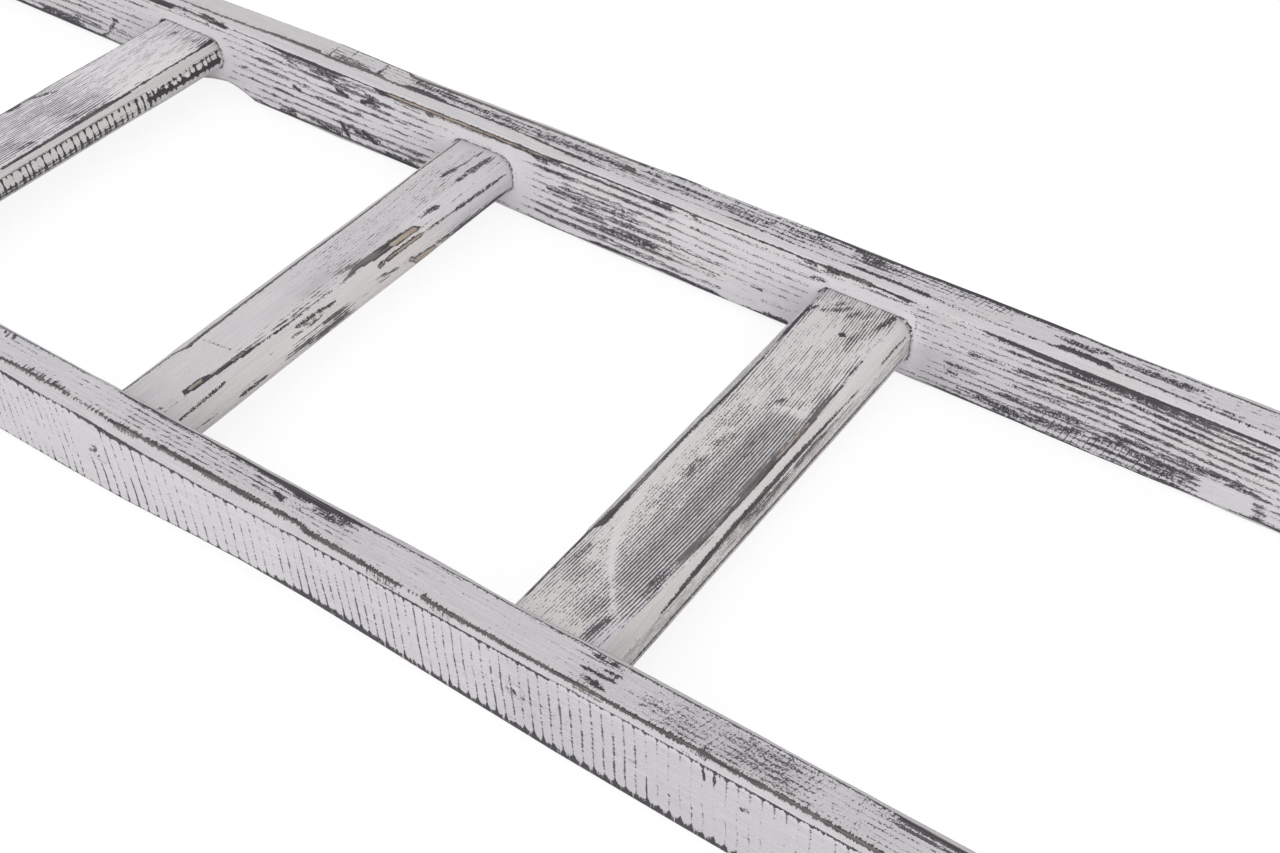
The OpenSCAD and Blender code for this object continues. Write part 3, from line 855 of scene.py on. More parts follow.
def wear_right_rail(surface):
    """The marks of the near rail: its front, its chamfer, then its outer side."""
    surface.fur = np.where(surface.s > NEAR, 2, np.where(surface.s > FRONT + 18, 11, 2.5))
    surface.on(FRONT)
    surface.strokes((43, 5, 43.5, 8.5, 0.9), (46, 5, 46.5, 10.5, 0.9), (50, 5, 52, 9, 1.2), (74, 21.4, 112, 21, 0.9),
        (114, 24, 132, 24.5, 0.8), (132, 24, 150, 24.6, 0.8), (272, 14, 283, 16.5, 1.9), (298, 12.5, 322, 13, 0.9),
        (300, 9, 330, 9.5, 1.2), (484, 8, 504, 8.5, 0.7), (493, 12, 507, 11.5, 1), (483, 17, 505, 16, 1.4),
        (486, 21, 498, 20.5, 0.8), (492, 22.5, 502, 23, 1.4), (496, 21, 497, 24, 1.6), (484, 24.5, 494, 24, 0.7),
        solid=0.8)
    surface.shift("dry", (40, 158, 5, 25, -0.1), (158, 266, 5.5, 22, 0.16), (255, 330, 6, 19, 0.2),
        (330, 470, 7, 26, -0.08), (478, 510, 7, 24, 0.06), (520, 615, 7, 25, 0.17), (572, 604, 5, 20, 0.14),
        (612, 665, 7, 24, 0.06), (655, 700, 5, 11, 0.45), (510, 550, 10, 26, 0.04))
    surface.shift("ridge_share", (530, 660, 6, 26, 0.12))
    surface.shift("ring_share", (510, 650, 6, 26, -0.16))
    surface.shift("speckle", (515, 660, 6, 26, 0.6))
    surface.dry += 0.1 * cloud(surface.u, surface.s, 61, 9, 2.4) * surface.area(505, 680, 4, 27)
    surface.shift("thin", (320, 480, 6, 26, 0.1), (480, 700, 6, 26, 0.22), (160, 330, 6, 22, 0.12),
        (540, 610, 7, 24, 0.2))
    surface.shift("rubbed", (40, 700, 21, 30, 0.24))
    surface.shift("fur", (476, 512, 17, 25.5, -9.5))
    surface.bared((158, 25.6, 178, 26, 0.35), (352, 28.4, 374, 28.7, 0.6), (394, 28.5, 410, 28.6, 0.4),
        (486, 27.6, 504, 27.8, 0.4), outline=0.6)
    surface.on(CHAMFER)
    surface.strokes((558, 3, 562, 0.5, 1.6), (562, 0.5, 565, 4, 1.4), (551, 6.5, 559, 1.5, 0.6),
        (546, 7, 555, 3, 0.4), (541, 1.5, 540, 6.5, 0.4), (545, 1.5, 543, 6.5, 0.4), (415, 4.5, 418, 1.5, 0.5))
    surface.on(NEAR)
    surface.shift("fur", (-760, 760, 0, 14, 2.5))
    surface.strokes((564, 9, 565, 18, 0.6), (570, 11, 570, 18, 0.7), (574, 7, 574, 10, 0.9),
        (586, 24.5, 590, 21, 1.5))
    # filled screw heads under the paint at the third and fourth rungs
    surface.strokes((130.5, 35.5, 133, 31, 1.1), (134.5, 33, 139, 28, 1), (132, 27.4, 141, 27, 0.6),
        (137, 36, 140, 33, 0.6), (442, 34, 445, 32, 1), (447, 31, 449, 35, 1.3), (453, 36, 456, 34, 0.7),
        (464, 30, 467, 33, 1))
    surface.shift("dry", (119, 128.5, 9, 66, -0.6), (119, 142, 8, 37, -0.3), (60, 118, 12, 62, 0.03),
        (186, 262, 36, 62, 0.03), (284, 354, 30, 58, 0.1), (354, 430, 30, 60, 0.02), (425, 530, 15, 60, 0.08),
        (530, 640, 12, 60, -0.06), soft_u=5)
    surface.shift("ridge_share", (60, 101, 10, 62, -0.06), (101, 119, 32, 66, 0.3), (129, 137, 36, 66, 0.3),
        (137, 186, 37, 66, 0.6), (143, 186, 12, 37, 0.16), (186, 262, 36, 62, 0.08), (186, 280, 12, 36, -0.1),
        (284, 354, 34, 58, 0.2), (354, 520, 9, 60, 0.08), (530, 640, 12, 60, -0.1), soft_u=5)
    lines = [(60, 90, 24), (425, 530, 25), (350, 515, 37), (300, 360, 38), (400, 560, 46), (430, 560, 52)]
    surface.shift("ridge_share", *[(x0, x1, d - 1.3, d + 1.3, 0.3) for x0, x1, d in lines], soft_s=1.5)
    surface.shift("teeth", (-760, 760, 0, 16, 1.6), (-760, 285, 40, 70, 2.6), (285, 760, 40, 70, 3.6))
    surface.shift("fur", (-760, 760, 50, 70, 4))
    # painted shade: the near side's white greys towards the end nearer the camera
    surface.shift("thin", (290, 440, 8, 62, 0.14), (440, 760, 8, 66, 0.36), soft_u=40)
    surface.bared((584.5, 24.4, 588, 22.6, 0.5))
    # places that the photograph doesn't show
    surface.on(FRONT)
    surface.scatter(65, 44, -735, -60, 7, 23)
    surface.on(NEAR)
    surface.scatter(66, 60, -735, -60, 8, 60)
    surface.on(FAR)
    surface.scatter(67, 90, -735, 680, 4, 55)
    surface.on(BACK)
    surface.scatter(68, 40, -735, 680, 3, 17)


LEFT_RAIL["marks"], RIGHT_RAIL["marks"] = wear_left_rail, wear_right_rail


def make_rail(name, rail):
    """A rail's dressed mesh, before its joints are cut: a ring of points at each section, and closed sawn ends."""
    x = np.linspace(-RAIL_LENGTH / 2 + END_CHAMFER, RAIL_LENGTH / 2 - END_CHAMFER, RAIL_SECTIONS)
    corners = rail_outline(rail, x)
    ring = []
    for number, steps in enumerate(FACE_STEPS):
        (w0, d0), (w1, d1) = corners[number], corners[(number + 1) % 8]
        edge = EDGE_LOOP / FACE_WIDTH[number]
        for t in [0.0, *np.linspace(edge, 1 - edge, steps - 1)]:
            w, d = w0 + (w1 - w0) * t, d0 + (d1 - d0) * t
            s = {0: FRONT + w, 2: NEAR + d}.get(number, 0 * x + FACE_START[number] + t * FACE_WIDTH[number])
            ring.append((x, w, d, s, 0 * x + number))
    body = np.array(ring).transpose(1, 2, 0)
    middle_w, half_w, half_d = RAIL_THICKNESS / 2, RAIL_THICKNESS / 2, RAIL_DEPTH / 2

    def end_rings(row, sign):
        """Sawn end: the outline drawn in by the end chamfer, then on to the middle line of the end."""
        u, w, d, s, _ = body[:, row]
        middle_d = np.clip(d, middle_w, RAIL_DEPTH - middle_w)
        return [np.stack([u + sign * reach, w + (middle_w - w) * pull, d + (middle_d - d) * pull, s,
                          0 * w + END_GRAIN]) for pull, reach in END_PULLS]

    lead, tail = np.stack(end_rings(0, -1)[::-1], 1), np.stack(end_rings(-1, 1), 1)
    u, w, d, s, face = np.concatenate([lead, body, tail], 1)
    surface = rail_surface(rail, u, s, w, d, face)
    rail["marks"](surface)
    end = face == END_GRAIN
    rim = end & (np.abs(u) < RAIL_LENGTH / 2 - 0.1)
    for value, at_end in (("ring_phase", np.hypot(w - HEART_W, d - HEART_D) / HEART_PITCH), ("ring_share", 0.5),
                          ("ridge_share", 0.0), ("dry", 0.30), ("worn", np.where(rim, 0.3, UNWORN)),
                          ("bare", UNWORN), ("thin", 0.3)):
        setattr(surface, value, np.where(end, at_end, getattr(surface, value)))
    sunk = hand_work(u, w + d, rail["seed"] + 61, 75, 30)
    w = w - sunk * np.sign(w - half_w) * (np.abs(w - half_w) > half_w - 1)
    sunk_d = d - sunk * np.sign(d - half_d) * (np.abs(d - half_d) > half_d - 1)
    points = np.stack([u, rail["far_y"] - w, RAIL_DEPTH - sunk_d], -1) * MM
    index = np.arange(u.size).reshape(u.shape)
    quads = np.stack([index[:-1], index[1:], np.roll(index[1:], -1, 1), np.roll(index[:-1], -1, 1)], -1)
    mesh = bpy.data.meshes.new(name)
    mesh.from_pydata(points.reshape(-1, 3).tolist(), [],
                     quads.reshape(-1, 4).tolist() + [index[0].tolist(), index[-1][::-1].tolist()])
    surface.u = u + np.where(end, d, 0)
    store_grain(mesh, surface, rail["shift"], FACE_START[-1])
    finish_mesh(mesh)
    return mesh


# ---- Blanks made by rule: the rungs, and the plugs of filler

def new_blank(name, inputs, on_points=False):
    """An empty Geometry Nodes tree with its wiring and its inputs, on the points of its object if it asks."""
    tree = bpy.data.node_groups.new(name, "GeometryNodeTree")
    kinds = {"Geometry": "NodeSocketGeometry", "Material": "NodeSocketMaterial"}
    for label in (["Geometry"] if on_points else []) + [*inputs, "Material"]:
        tree.interface.new_socket(label, in_out="INPUT", socket_type=kinds.get(label, "NodeSocketFloat"))
    tree.interface.new_socket("Geometry", in_out="OUTPUT", socket_type="NodeSocketGeometry")
    w = Wiring(tree)
    return w, w.add("NodeGroupInput").outputs


def close_blank(w, geometry, material):
    """Ends a blank's tree: real geometry, with its material."""
    solid = w.add("GeometryNodeRealizeInstances", Geometry=geometry).outputs[0]
    w.add("NodeGroupOutput", Geometry=w.add("GeometryNodeSetMaterial", Geometry=solid, Material=material).outputs[0])
    return w.tree


def make_rung_blank():
    """A bar with four rounded edges, one of them worn rounder, that leans out of square."""
    w, i = new_blank("rung_blank", ("Width", "Thickness", "Edge round", "Worn round", "Length", "Step", "Lean",
                                    "Place X", "Front Z"))

    def point(**values):
        return w.add("ShaderNodeCombineXYZ", **values).outputs[0]

    section = w.add("GeometryNodeCurvePrimitiveQuadrilateral", Width=i["Width"], Height=i["Thickness"]).outputs[0]
    worn = w.math("COMPARE", w.add("GeometryNodeInputIndex").outputs[0], 2.0, 0.5)
    round_by = w.more(worn, w.minus(i["Worn round"], i["Edge round"]), i["Edge round"])
    fillet = w.add("GeometryNodeFilletCurve", "POLY", Curve=section, Count=14, Radius=round_by).outputs[0]
    even = w.add("GeometryNodeResampleCurve", "LENGTH", Curve=fillet, Length=i["Step"]).outputs[0]
    way = w.add("GeometryNodeStoreNamedAttribute", Geometry=even, Name="way_round",
                Value=w.add("GeometryNodeSplineParameter").outputs["Factor"]).outputs[0]
    half = w.times(i["Length"], 0.5)
    line = w.add("GeometryNodeCurvePrimitiveLine", Start=point(Y=half), End=point(Y=w.times(half, -1.0))).outputs[0]
    rows = w.add("GeometryNodeResampleCurve", "LENGTH", Curve=line, Length=i["Step"]).outputs[0]
    bar = w.add("GeometryNodeCurveToMesh", Curve=rows, Profile_Curve=way, Fill_Caps=True).outputs[0]
    place = w.add("ShaderNodeSeparateXYZ", Vector=w.add("GeometryNodeInputPosition").outputs[0])
    leaned = point(X=w.more(place.outputs[1], i["Lean"], i["Place X"]), Z=w.more(i["Thickness"], -0.5, i["Front Z"]))
    return close_blank(w, w.add("GeometryNodeSetPosition", Geometry=bar, Offset=leaned).outputs[0], i["Material"])


def make_filler_blank():
    """A slightly domed round of filler at each of the points it is given, facing where their side says."""
    w, i = new_blank("filler_blank", ("Radius", "Depth", "Dome"), on_points=True)
    disc = w.add("GeometryNodeMeshCylinder", Vertices=40, Side_Segments=3, Fill_Segments=6, Radius=i["Radius"],
                 Depth=i["Depth"]).outputs[0]
    x, y, z = w.add("ShaderNodeSeparateXYZ", Vector=w.add("GeometryNodeInputPosition").outputs[0]).outputs
    out = w.math("DIVIDE", w.math("SQRT", w.more(x, x, w.times(y, y))), i["Radius"])
    rise = w.times(w.minus(1.0, w.times(out, out)), i["Dome"])
    up = w.add("ShaderNodeCombineXYZ", Z=w.times(rise, w.math("GREATER_THAN", z, 0.0))).outputs[0]
    domed = w.add("GeometryNodeSetPosition", Geometry=disc, Offset=up).outputs[0]
    side = w.add("GeometryNodeInputNamedAttribute", Name="side").outputs[0]
    turn = w.add("ShaderNodeCombineXYZ", X=w.times(side, -math.pi / 2)).outputs[0]
    plugs = w.add("GeometryNodeInstanceOnPoints", Points=i["Geometry"], Instance=domed, Rotation=turn).outputs[0]
    return close_blank(w, plugs, i["Material"])


def cut_blank(tree, name, base, **sizes):
    """Runs a blank's tree on a base mesh and returns the result as a plain mesh."""
    holder = add_object(name, base)
    modifier = holder.modifiers.new("blank", "NODES")
    modifier.node_group = tree
    for socket in tree.interface.items_tree:
        label = socket.name.replace(" ", "_").lower()
        if socket.in_out == "INPUT" and label in sizes:
            modifier[socket.identifier] = sizes[label]
    mesh = bpy.data.meshes.new_from_object(holder.evaluated_get(bpy.context.evaluated_depsgraph_get()))
    holder.modifiers.clear()
    remove_meshes(holder)
    mesh.name = name
    return mesh


rung_blank, filler_blank = make_rung_blank(), make_filler_blank()


def read_points(mesh):
    """The mesh's points in millimetres."""
    points = np.zeros(len(mesh.vertices) * 3, np.float32)
    mesh.vertices.foreach_get("co", points)
    return points.reshape(-1, 3).astype(float) / MM


def cut_rung(i, name, step, grow=0.0, material=None):
    """The plain bar of rung i, grown all round by grow."""
    return cut_blank(rung_blank, name, bpy.data.meshes.new(name), width=(RUNG_WIDTH[i] + 2 * grow) * MM,
                     thickness=(RUNG_THICKNESS[i] + 2 * grow) * MM, edge_round=(RUNG_ROUND + grow) * MM,
                     worn_round=(RUNG_WORN_ROUND + grow) * MM, length=(RUNG_LENGTH + 2 * grow) * MM, step=step * MM,
                     lean=RUNG_SKEW[i] / CLEAR_WIDTH, place_x=RUNG_X[i] * MM, front_z=(RUNG_FRONT_Z + grow) * MM,
                     material=material)


# ---- Rungs

# Distance between the points of a bar: a dressed rung, and the cutter of a housing
RUNG_STEP, HOUSING_STEP = 1.2, 3.0


def rung_section(i):
    """Points of a rung's outline with their way round s: from the -X side over the front to the +X side and back."""
    half, t, e, r = RUNG_WIDTH[i] / 2, RUNG_THICKNESS[i], RUNG_ROUND, RUNG_WORN_ROUND
    corners = (((e - half, -e), e, 180), ((half - r, -r), r, 90),
               ((half - e, e - t), e, 0), ((e - half, e - t), e, -90))
    points = []
    for (cx, cz), radius, angle in corners:
        a = np.radians(angle - np.linspace(0, 90, 25))
        points += list(zip(cx + radius * np.cos(a), cz + radius * np.sin(a)))
    points = np.array(points + points[:1])
    s = np.concatenate([[0], np.cumsum(np.hypot(*np.diff(points, axis=0).T))])
    return points[:, 0], points[:, 1], s


def rung_corners(i):
    """Ways round to the end of the first front corner of rung i, and to both ends of the worn one."""
    first_end = math.pi / 2 * RUNG_ROUND
    worn_start = first_end + RUNG_WIDTH[i] - RUNG_ROUND - RUNG_WORN_ROUND
    return first_end, worn_start, worn_start + math.pi / 2 * RUNG_WORN_ROUND


# Where the arrises of each rung's two front corners run, as ways round: the first corner's low one, then both of the
# worn corner's. Between them it is planed flat.
RUNG_ARRISES = (
    ([(-160, 12), (160, 12.5)],
     [(-160, 66), (0, 65), (160, 66)],
     [(-160, 72), (160, 72.5)]),
    ([(-160, 12.5), (20, 13), (30, 14), (45, 12.5), (160, 13)],
     [(-160, 66), (0, 66.3), (30, 66.6), (60, 66.4), (160, 65.5)],
     [(-160, 72), (40, 71.8), (75, 73), (98, 74.8), (115, 74), (160, 72.6)]),
    ([(-160, 12), (-112, 13), (-104, 16), (-92, 15), (-60, 14.3), (0, 14), (60, 13.5), (110, 12.5), (160, 12.5)],
     [(-160, 47), (-133, 46.6), (-100, 48.8), (-50, 51), (0, 51.5), (15, 50), (30, 52), (74, 54), (160, 51.5)],
     [(-160, 57), (-110, 55), (-50, 55.5), (10, 58), (30, 56), (75, 57.6), (160, 61)]),
    ([(-160, 10), (-88, 9.5), (-80, 14), (-55, 13.2), (0, 12.5), (60, 13.5), (160, 11)],
     [(-160, 65), (-100, 65.5), (-40, 67.5), (30, 67.5), (80, 66), (160, 62)],
     [(-160, 79), (-110, 78), (-40, 75), (20, 74.6), (60, 75), (160, 74.8)]),
)


def plane_corners(i, y, s, x, z):
    """Planes the two front corners of rung i into flats that meet at its arrises, less so at its far end."""
    share = 1 - (0.9 if i > 1 else 0.0) * ease((y - 85) / 50)
    *section, section_s = rung_section(i)
    low, first, second = (along_keys(y, keys) for keys in RUNG_ARRISES[i])
    first_end, worn_start, worn_end = rung_corners(i)
    for corner in ((0 * y, low - 8.5, low, 0 * y + first_end + 3),
                   (np.minimum(worn_start, first - 5), first, second, 0 * y + worn_end + 0.5)):
        for a, b in zip(corner[:-1], corner[1:]):
            t = (s - a) / np.maximum(b - a, 0.1)
            here = (t >= 0) & (t <= 1)
            flat = [np.interp(a, section_s, side) * (1 - t) + np.interp(b, section_s, side) * t for side in section]
            x, z = (np.where(here, old + (new - old) * share, old) for old, new in zip((x, z), flat))
    return x, z


def wear_rung_1(surface, low, first, second):
    surface.edge(low, [(-160, 1.2), (-60, 2.4), (0, 0.8), (90, 2.2), (160, 1)])
    surface.edge(first, [(-160, 0.6), (-80, 2.6), (-20, 0.4), (60, 3), (160, 1.2)])
    surface.edge(second, [(-160, 1.4), (-40, 0.4), (20, 1.8), (160, 0.8)])
    surface.strokes((-120, 40, -60, 42, 2), (30, 28, 80, 30, 1.6), (95, 45, 150, 47, 2.4), (-30, 22, 10, 20, 1.2))
    surface.shift("dry", (-140, -40, 20, 60, 0.2), (20, 120, 24, 56, 0.14))
    surface.bared((-80, 64.2, -50, 63.6, 1), (45, 63.8, 80, 64.4, 1.2))


def wear_rung_2(surface, low, first, second):
    surface.edge(low, [(-160, 1.5), (-20, 1.3), (4, 1.4), (8, 3), (22, 3), (26, 1.2), (38, 1.3), (42, 1.8), (96, 1.8),
        (104, 0.8), (140, 0.9), (145, 2), (158, 2)])
    surface.edge(first, [(-160, 1.5), (-40, 1.5), (0, 2), (22, 2.6), (30, 3), (56, 3), (66, 2), (86, 1.6), (92, 2.4),
        (100, 1.6), (148, 1.6), (154, 3), (162, 3.4)], 0)
    surface.edge(second, [(-160, 0.2), (160, 0.2)], 6)
    surface.strokes((28, 14.5, 36, 18, 1), (35, 18, 44, 20.5, 1.5), (42, 21, 48, 24, 1.2), (8, 15, 21, 14.5, 1.8))
    surface.strokes((94, 78.4, 124, 79, 3), (118, 79, 146, 79.6, 3.2), (140, 79.6, 162, 80.5, 3),
        (86, 78.6, 98, 79, 2.4), (-170, 81.8, 96, 81.8, 1.5), (-170, 84.4, 92, 84.4, 1.7), solid=3.2)
    surface.smudges((-30, 51, -12, 53, 2), (-26, 47, -14, 48, 1.6), (-22, 57, -4, 61, 2), (22, 50, 48, 53, 2),
        (24, 60, 54, 61, 2.4), (18, 56, 36, 58, 1.6), (20, 45, 44, 47, 1.4), (44, 50, 62, 52, 1.6),
        (150, 62, 160, 63.5, 2.4), (148, 47, 156, 49, 2), (146, 33, 156, 35, 1.6), (150, 55, 158, 57, 1.8),
        amount=0.4)
    surface.smudges((14, 37, 40, 40, 5), (66, 55, 74, 56, 2), amount=0.1)
    surface.shift("dry", (-60, 62, 15, 62, 0.04), (16, 68, 30, 64, 0.05), (-40, 4, 44, 66, 0.1),
        (142, 162, 26, 63, 0.16))
    surface.shift("dry", (62, 150, 16, 62, -0.16), soft_u=50)
    surface.shift("ridge_share", (-60, 160, 15, 62, -0.08), soft_u=30)
    surface.shift("ring_share", (-60, 70, 15, 62, 0.5), (70, 150, 15, 62, 0.25), soft_u=40)
    surface.shift("thin", (-170, 170, 14, 66, -0.2), (-170, 170, 66, 73, 0.2))
    surface.shift("thin", (50, 170, 14, 66, -0.3), soft_u=70)
    surface.shift("speckle", (-60, 160, 15, 62, -0.4))
    # below the planed strip the planer's ridges stand white out of the wax
    side = (surface.s > 72) & (surface.s < 86)
    surface.ridge_phase = np.where(side, surface.u / 5.4 + 0.3 * wander(surface.u, 77, 9), surface.ridge_phase)
    surface.teeth = np.where(side, np.where(surface.u < 90, 4.2, 1.8), surface.teeth)
    surface.ridge_share = np.where(side, np.where(surface.u < 90, 0.24, 0.1), surface.ridge_share)
    surface.fur = np.where(side, 3, surface.fur)
    for y, s, size in ((115, 77.5, 1.8), (120, 76.8, 1.6), (128, 77.2, 2.2), (134, 76.4, 1.6), (140, 77, 2),
                       (147, 77, 1.6), (107, 76.6, 1.2)):
        surface.cover(ease(1.4 - np.hypot(surface.u - y, surface.s - s) / size))
    surface.shift("warmth", (-170, 170, 66.5, 85, 0.8))
    surface.shift("rubbed", (-170, 140, 62, 67, 0.3), (-170, 100, 82, 88, 0.35), (40, 100, 10, 14, 0.3))


def wear_rung_3(surface, low, first, second):
    surface.edge(low, [(-160, 1.8), (-112, 2), (-104, 2.6), (-60, 2.6), (0, 2.4), (60, 2.2), (110, 1.6),
        (160, 1.2)], 0.3)
    surface.edge(first, [(-160, 0), (-136, 0), (-134, 4.5), (-118, 4.2), (-112, 2.4), (-90, 3.4), (-84, 2), (-70, 1),
        (-56, 1.2), (-50, 1), (-14, 0.8), (0, 1.4), (10, 3), (20, 4.6), (28, 5.6), (48, 5.8), (70, 4.6), (74, 0),
        (160, 0)], 0)
    surface.bared((-131, 44.4, -119, 45, 1.2), (-98, 47.2, -86, 47.6, 0.9), (27, 58, 34, 56.8, 0.9),
        (34, 57, 72, 57.6, 1), (54.5, 67.5, 57, 71, 1.3), (58, 72.5, 80, 75, 2.6), outline=0.8)
    surface.bared((44, 50.6, 71, 52, 1.7), outline=0.2)
    surface.strokes((120, 30, 136, 33, 1.8), (124, 31, 134, 32.5, 1.4), (136, 33, 148, 34.5, 0.6),
        (121, 42, 134, 43.5, 1.6), (130, 42, 158, 44.5, 2.2), (84, 47, 96, 49.5, 1.8), (-150, 56.6, -126, 56, 1),
        (-132, 56.5, -110, 55, 1.2), (-50, 55.5, -30, 56.2, 1.4), (-32, 56, -14, 58, 1.3), (74, 57.8, 100, 59, 0.7),
        (98, 58.6, 158, 61, 1.2), (-106, 70.5, -80, 71.5, 1.4), (60, 69.5, 74, 72.5, 0.9), (96, 75.5, 160, 74.5, 1.6),
        (-100, 86, -80, 86, 1.5), (-40, 85, 0, 86, 1.5), (90, 83, 160, 84, 2), (-153.5, 42, -151, 44, 1))
    surface.smudges((0, 43, 16, 46, 2.6), (8, 45, 30, 48, 1.6), (76, 47, 98, 50, 2.2), (152, 34.5, 160, 35.5, 1.6),
        (134, 45.5, 160, 46.5, 1.6), (-140, 57.5, -122, 58, 1), (-76, 59.5, -66, 59, 1.4),
        (-58, 59.2, -30, 60.8, 1.4), (-44, 57.5, -24, 59.5, 1.4), (-150, 70, -108, 70, 1), (-66, 70, -40, 70.5, 1.2),
        (-28, 66, -8, 66, 1.4), (20, 63, 32, 65, 1), (28, 65, 44, 68, 1.4), (22, 67, 38, 70, 1.2),
        (48, 68, 60, 70, 1), (74, 72.5, 160, 75, 2.2), (100, 76, 160, 77, 2.2))
    surface.smudges((-90, 47.5, -50, 48, 1.6), (-62, 47, -10, 48, 2.2), (-54, 49.8, -8, 50.2, 1.2),
        (-50, 70.5, -12, 72, 2.2), (-40, 73, 0, 74, 2.4), (-20, 67.5, -6, 70.5, 2.2), amount=0.27)
    surface.strokes((-93, 18, -90, 44, 0.35), (-129, 17.2, -128.6, 17.6, 0.7), solid=0.3)
    surface.shift("dry", (-70, 5, 44, 52, 0.04), (0, 130, 18, 44, 0.07), (-30, 20, 34, 46, 0.08),
        (-60, -6, 54, 62, 0.16), (-60, 0, 63, 76, 0.24), (20, 46, 62, 70, 0.06), (-150, -20, 16, 42, -0.14),
        (118, 160, 26, 36, 0.1), (86, 160, 70, 78, 0.14), (-150, 160, 14, 18, 0.06))
    surface.shift("speckle", (-40, 160, 16, 46, 0.4))
    surface.shift("thin", (-30, 140, 16, 44, 0.12), (-60, 0, 30, 46, 0.12), (96, 160, 66, 80, 0.25),
        (-160, -30, 56, 72, -0.35), (-30, 90, 56, 72, -0.12), (-30, 60, 36, 48, 0.22), (-30, 10, 30, 40, 0.1))
    surface.shift("warmth", (-170, 90, 54, 90, 0.8), (-170, -20, 15, 54, 0.3))
    surface.shift("rubbed", (-170, 170, 10, 17, 0.42), (-140, -84, 42, 50, 0.25), (-10, 75, 40, 54, 0.3),
        (-6, 36, 40, 51, 0.3), (134, 160, 42, 47, 0.35))


def wear_rung_4(surface, low, first, second):
    surface.edge(low, [(-160, 0), (-147, 0), (-143, 3.6), (-86, 3.4), (-82, 5.6), (-70, 5), (-56, 3.6), (-40, 3),
        (20, 2.8), (60, 2), (90, 1), (100, 0.8), (112, 2.4), (142, 2.2), (146, 0.8)], 0.3)
    surface.edge(first, [(-160, 0), (-120, 0.2), (-80, 0.8), (-40, 1.6), (0, 3), (50, 3), (80, 1.6), (110, 0.5),
        (160, 0.2)], 0)
    surface.smudges((-112, 62, -60, 64.5, 2.2), (-80, 64, 0, 65, 2.8), (-20, 64.5, 80, 65, 3.2),
        (60, 63, 112, 63.5, 2.2), amount=0.4)
    surface.edge(second, [(-160, 0), (-114, 0.2), (-106, 1), (-80, 2.2), (-40, 2.4), (40, 1.8), (70, 1.2), (84, 0.5),
        (100, -0.6), (120, -0.6), (130, 1), (152, 0.9), (160, 0.2)], 0.6)
    surface.bared((14, 65.4, 54, 65.2, 0.7), (-52, 76.4, -4, 75.8, 0.5), (-142, 9.4, -90, 9.2, 0.35),
        (-58, 13.2, -10, 12.2, 0.5), (132, 74.6, 156, 74.8, 0.4), outline=0.4)
    surface.strokes((-110, 60, -70, 63.5, 0.5), (86, 75.5, 100, 75.2, 0.9), (148, 57.5, 162, 61, 1.8),
        (136, 10.5, 146, 16, 1.2))
    surface.smudges((-155, 53, -132, 56, 1.8), (-155, 55.5, -130, 58.5, 1.8), (130, 54.5, 150, 58, 2.4),
        (144, 57, 162, 61, 2.8), (114, 50.5, 150, 49.5, 1.6), (112, 53, 142, 52, 1.6), (118, 48.5, 136, 48, 1.4),
        (24, 80, 60, 79, 2.4), (56, 79.5, 96, 79, 1.8), (-36, 79, 20, 80, 2.2), (-24, 82, 40, 81.5, 2.2),
        (-60, 77, 60, 78.5, 1.6), (-60, 84, 4, 84, 1.4), (141, 18, 149, 28, 2.2), (146, 27, 155, 35, 2.2),
        (144, 36, 155, 42, 2.2), (148, 44, 158, 48, 2.4), (108, 12.5, 142, 13.5, 2), (44, 36, 62, 44, 1.6),
        (150, 22, 158, 30, 1.8))
    surface.smudges((-126, 22, -106, 29, 6), (-120, 16.5, -96, 18, 3.5), (-142, 40, -124, 47, 6),
        (-150, 52, -132, 56, 3), amount=0.38)
    surface.smudges((-26, 29, -6, 33, 4.5), (4, 30, 20, 36, 4), (56, 40, 62, 56, 3.4), (60, 56, 84, 60, 3),
        amount=0.26)
    surface.strokes((127, 42, 130.5, 42.4, 2.7), (125.6, 38, 126.2, 38.2, 1.1), (-160, 90.4, 160, 90.4, 1.4),
        solid=1.5)
    # dense dark rows between the light sweeps, thinning towards the far side and the left end
    surface.dry += 0.1 * cloud(surface.u, surface.s, 151, 26, 8) + 0.08 * cloud(surface.u, surface.s, 152, 8, 4)
    rows = 0.54 * surface.area(-124, 48, 44, 67, 34, 14) + 0.24 * surface.area(-112, 46, 32, 54, 34, 16)
    surface.dry += rows
    surface.ring_share += 1.4 * rows
    surface.shift("dry", (-100, 30, 20, 38, 0.16), (-132, -80, 13, 28, 0.06), (84, 150, 14, 62, -0.05),
        (108, 152, 44, 56, 0.06), (142, 160, 16, 56, 0.12), (20, 72, 14, 30, 0.1), (-60, 66, 76, 84, 0.1),
        (-160, 160, 67.5, 74, -0.3), (-156, -146, 14, 50, -0.3), (20, 50, 16, 34, 0.12), (-130, 150, 84, 92, 0.06),
        soft_s=5)
    surface.shift("speckle", (-110, 60, 16, 46, 0.5), (-150, -110, 16, 58, 0.5), (-60, 66, 74, 86, 0.3),
        (60, 160, 14, 60, 0.15), soft_s=6)
    surface.shift("ring_share", (-110, 60, 14, 34, -0.45), (110, 160, 14, 40, -0.25), soft_s=6)
    # the last area here is painted light: the side that turns under is whitened where it turns away from the light
    surface.shift("thin", (-160, 160, 10, 70, -0.12), (-110, 50, 42, 66, 0.26), (-60, 80, 60, 68, 0.3),
        (-160, -136, 12, 50, -0.3), (-160, 160, 77, 90, -0.25))
    surface.shift("rubbed", (-160, 100, 8, 20, 0.28), (-90, 100, 60, 68, 0.42), (-110, 60, 73, 79, 0.3),
        (-160, 160, 88, 93, 0.4))
    surface.shift("warmth", (-170, 170, 66, 92, 0.6), (-160, -138, 14, 50, 0.6), (-138, 160, 14, 60, 0.3))
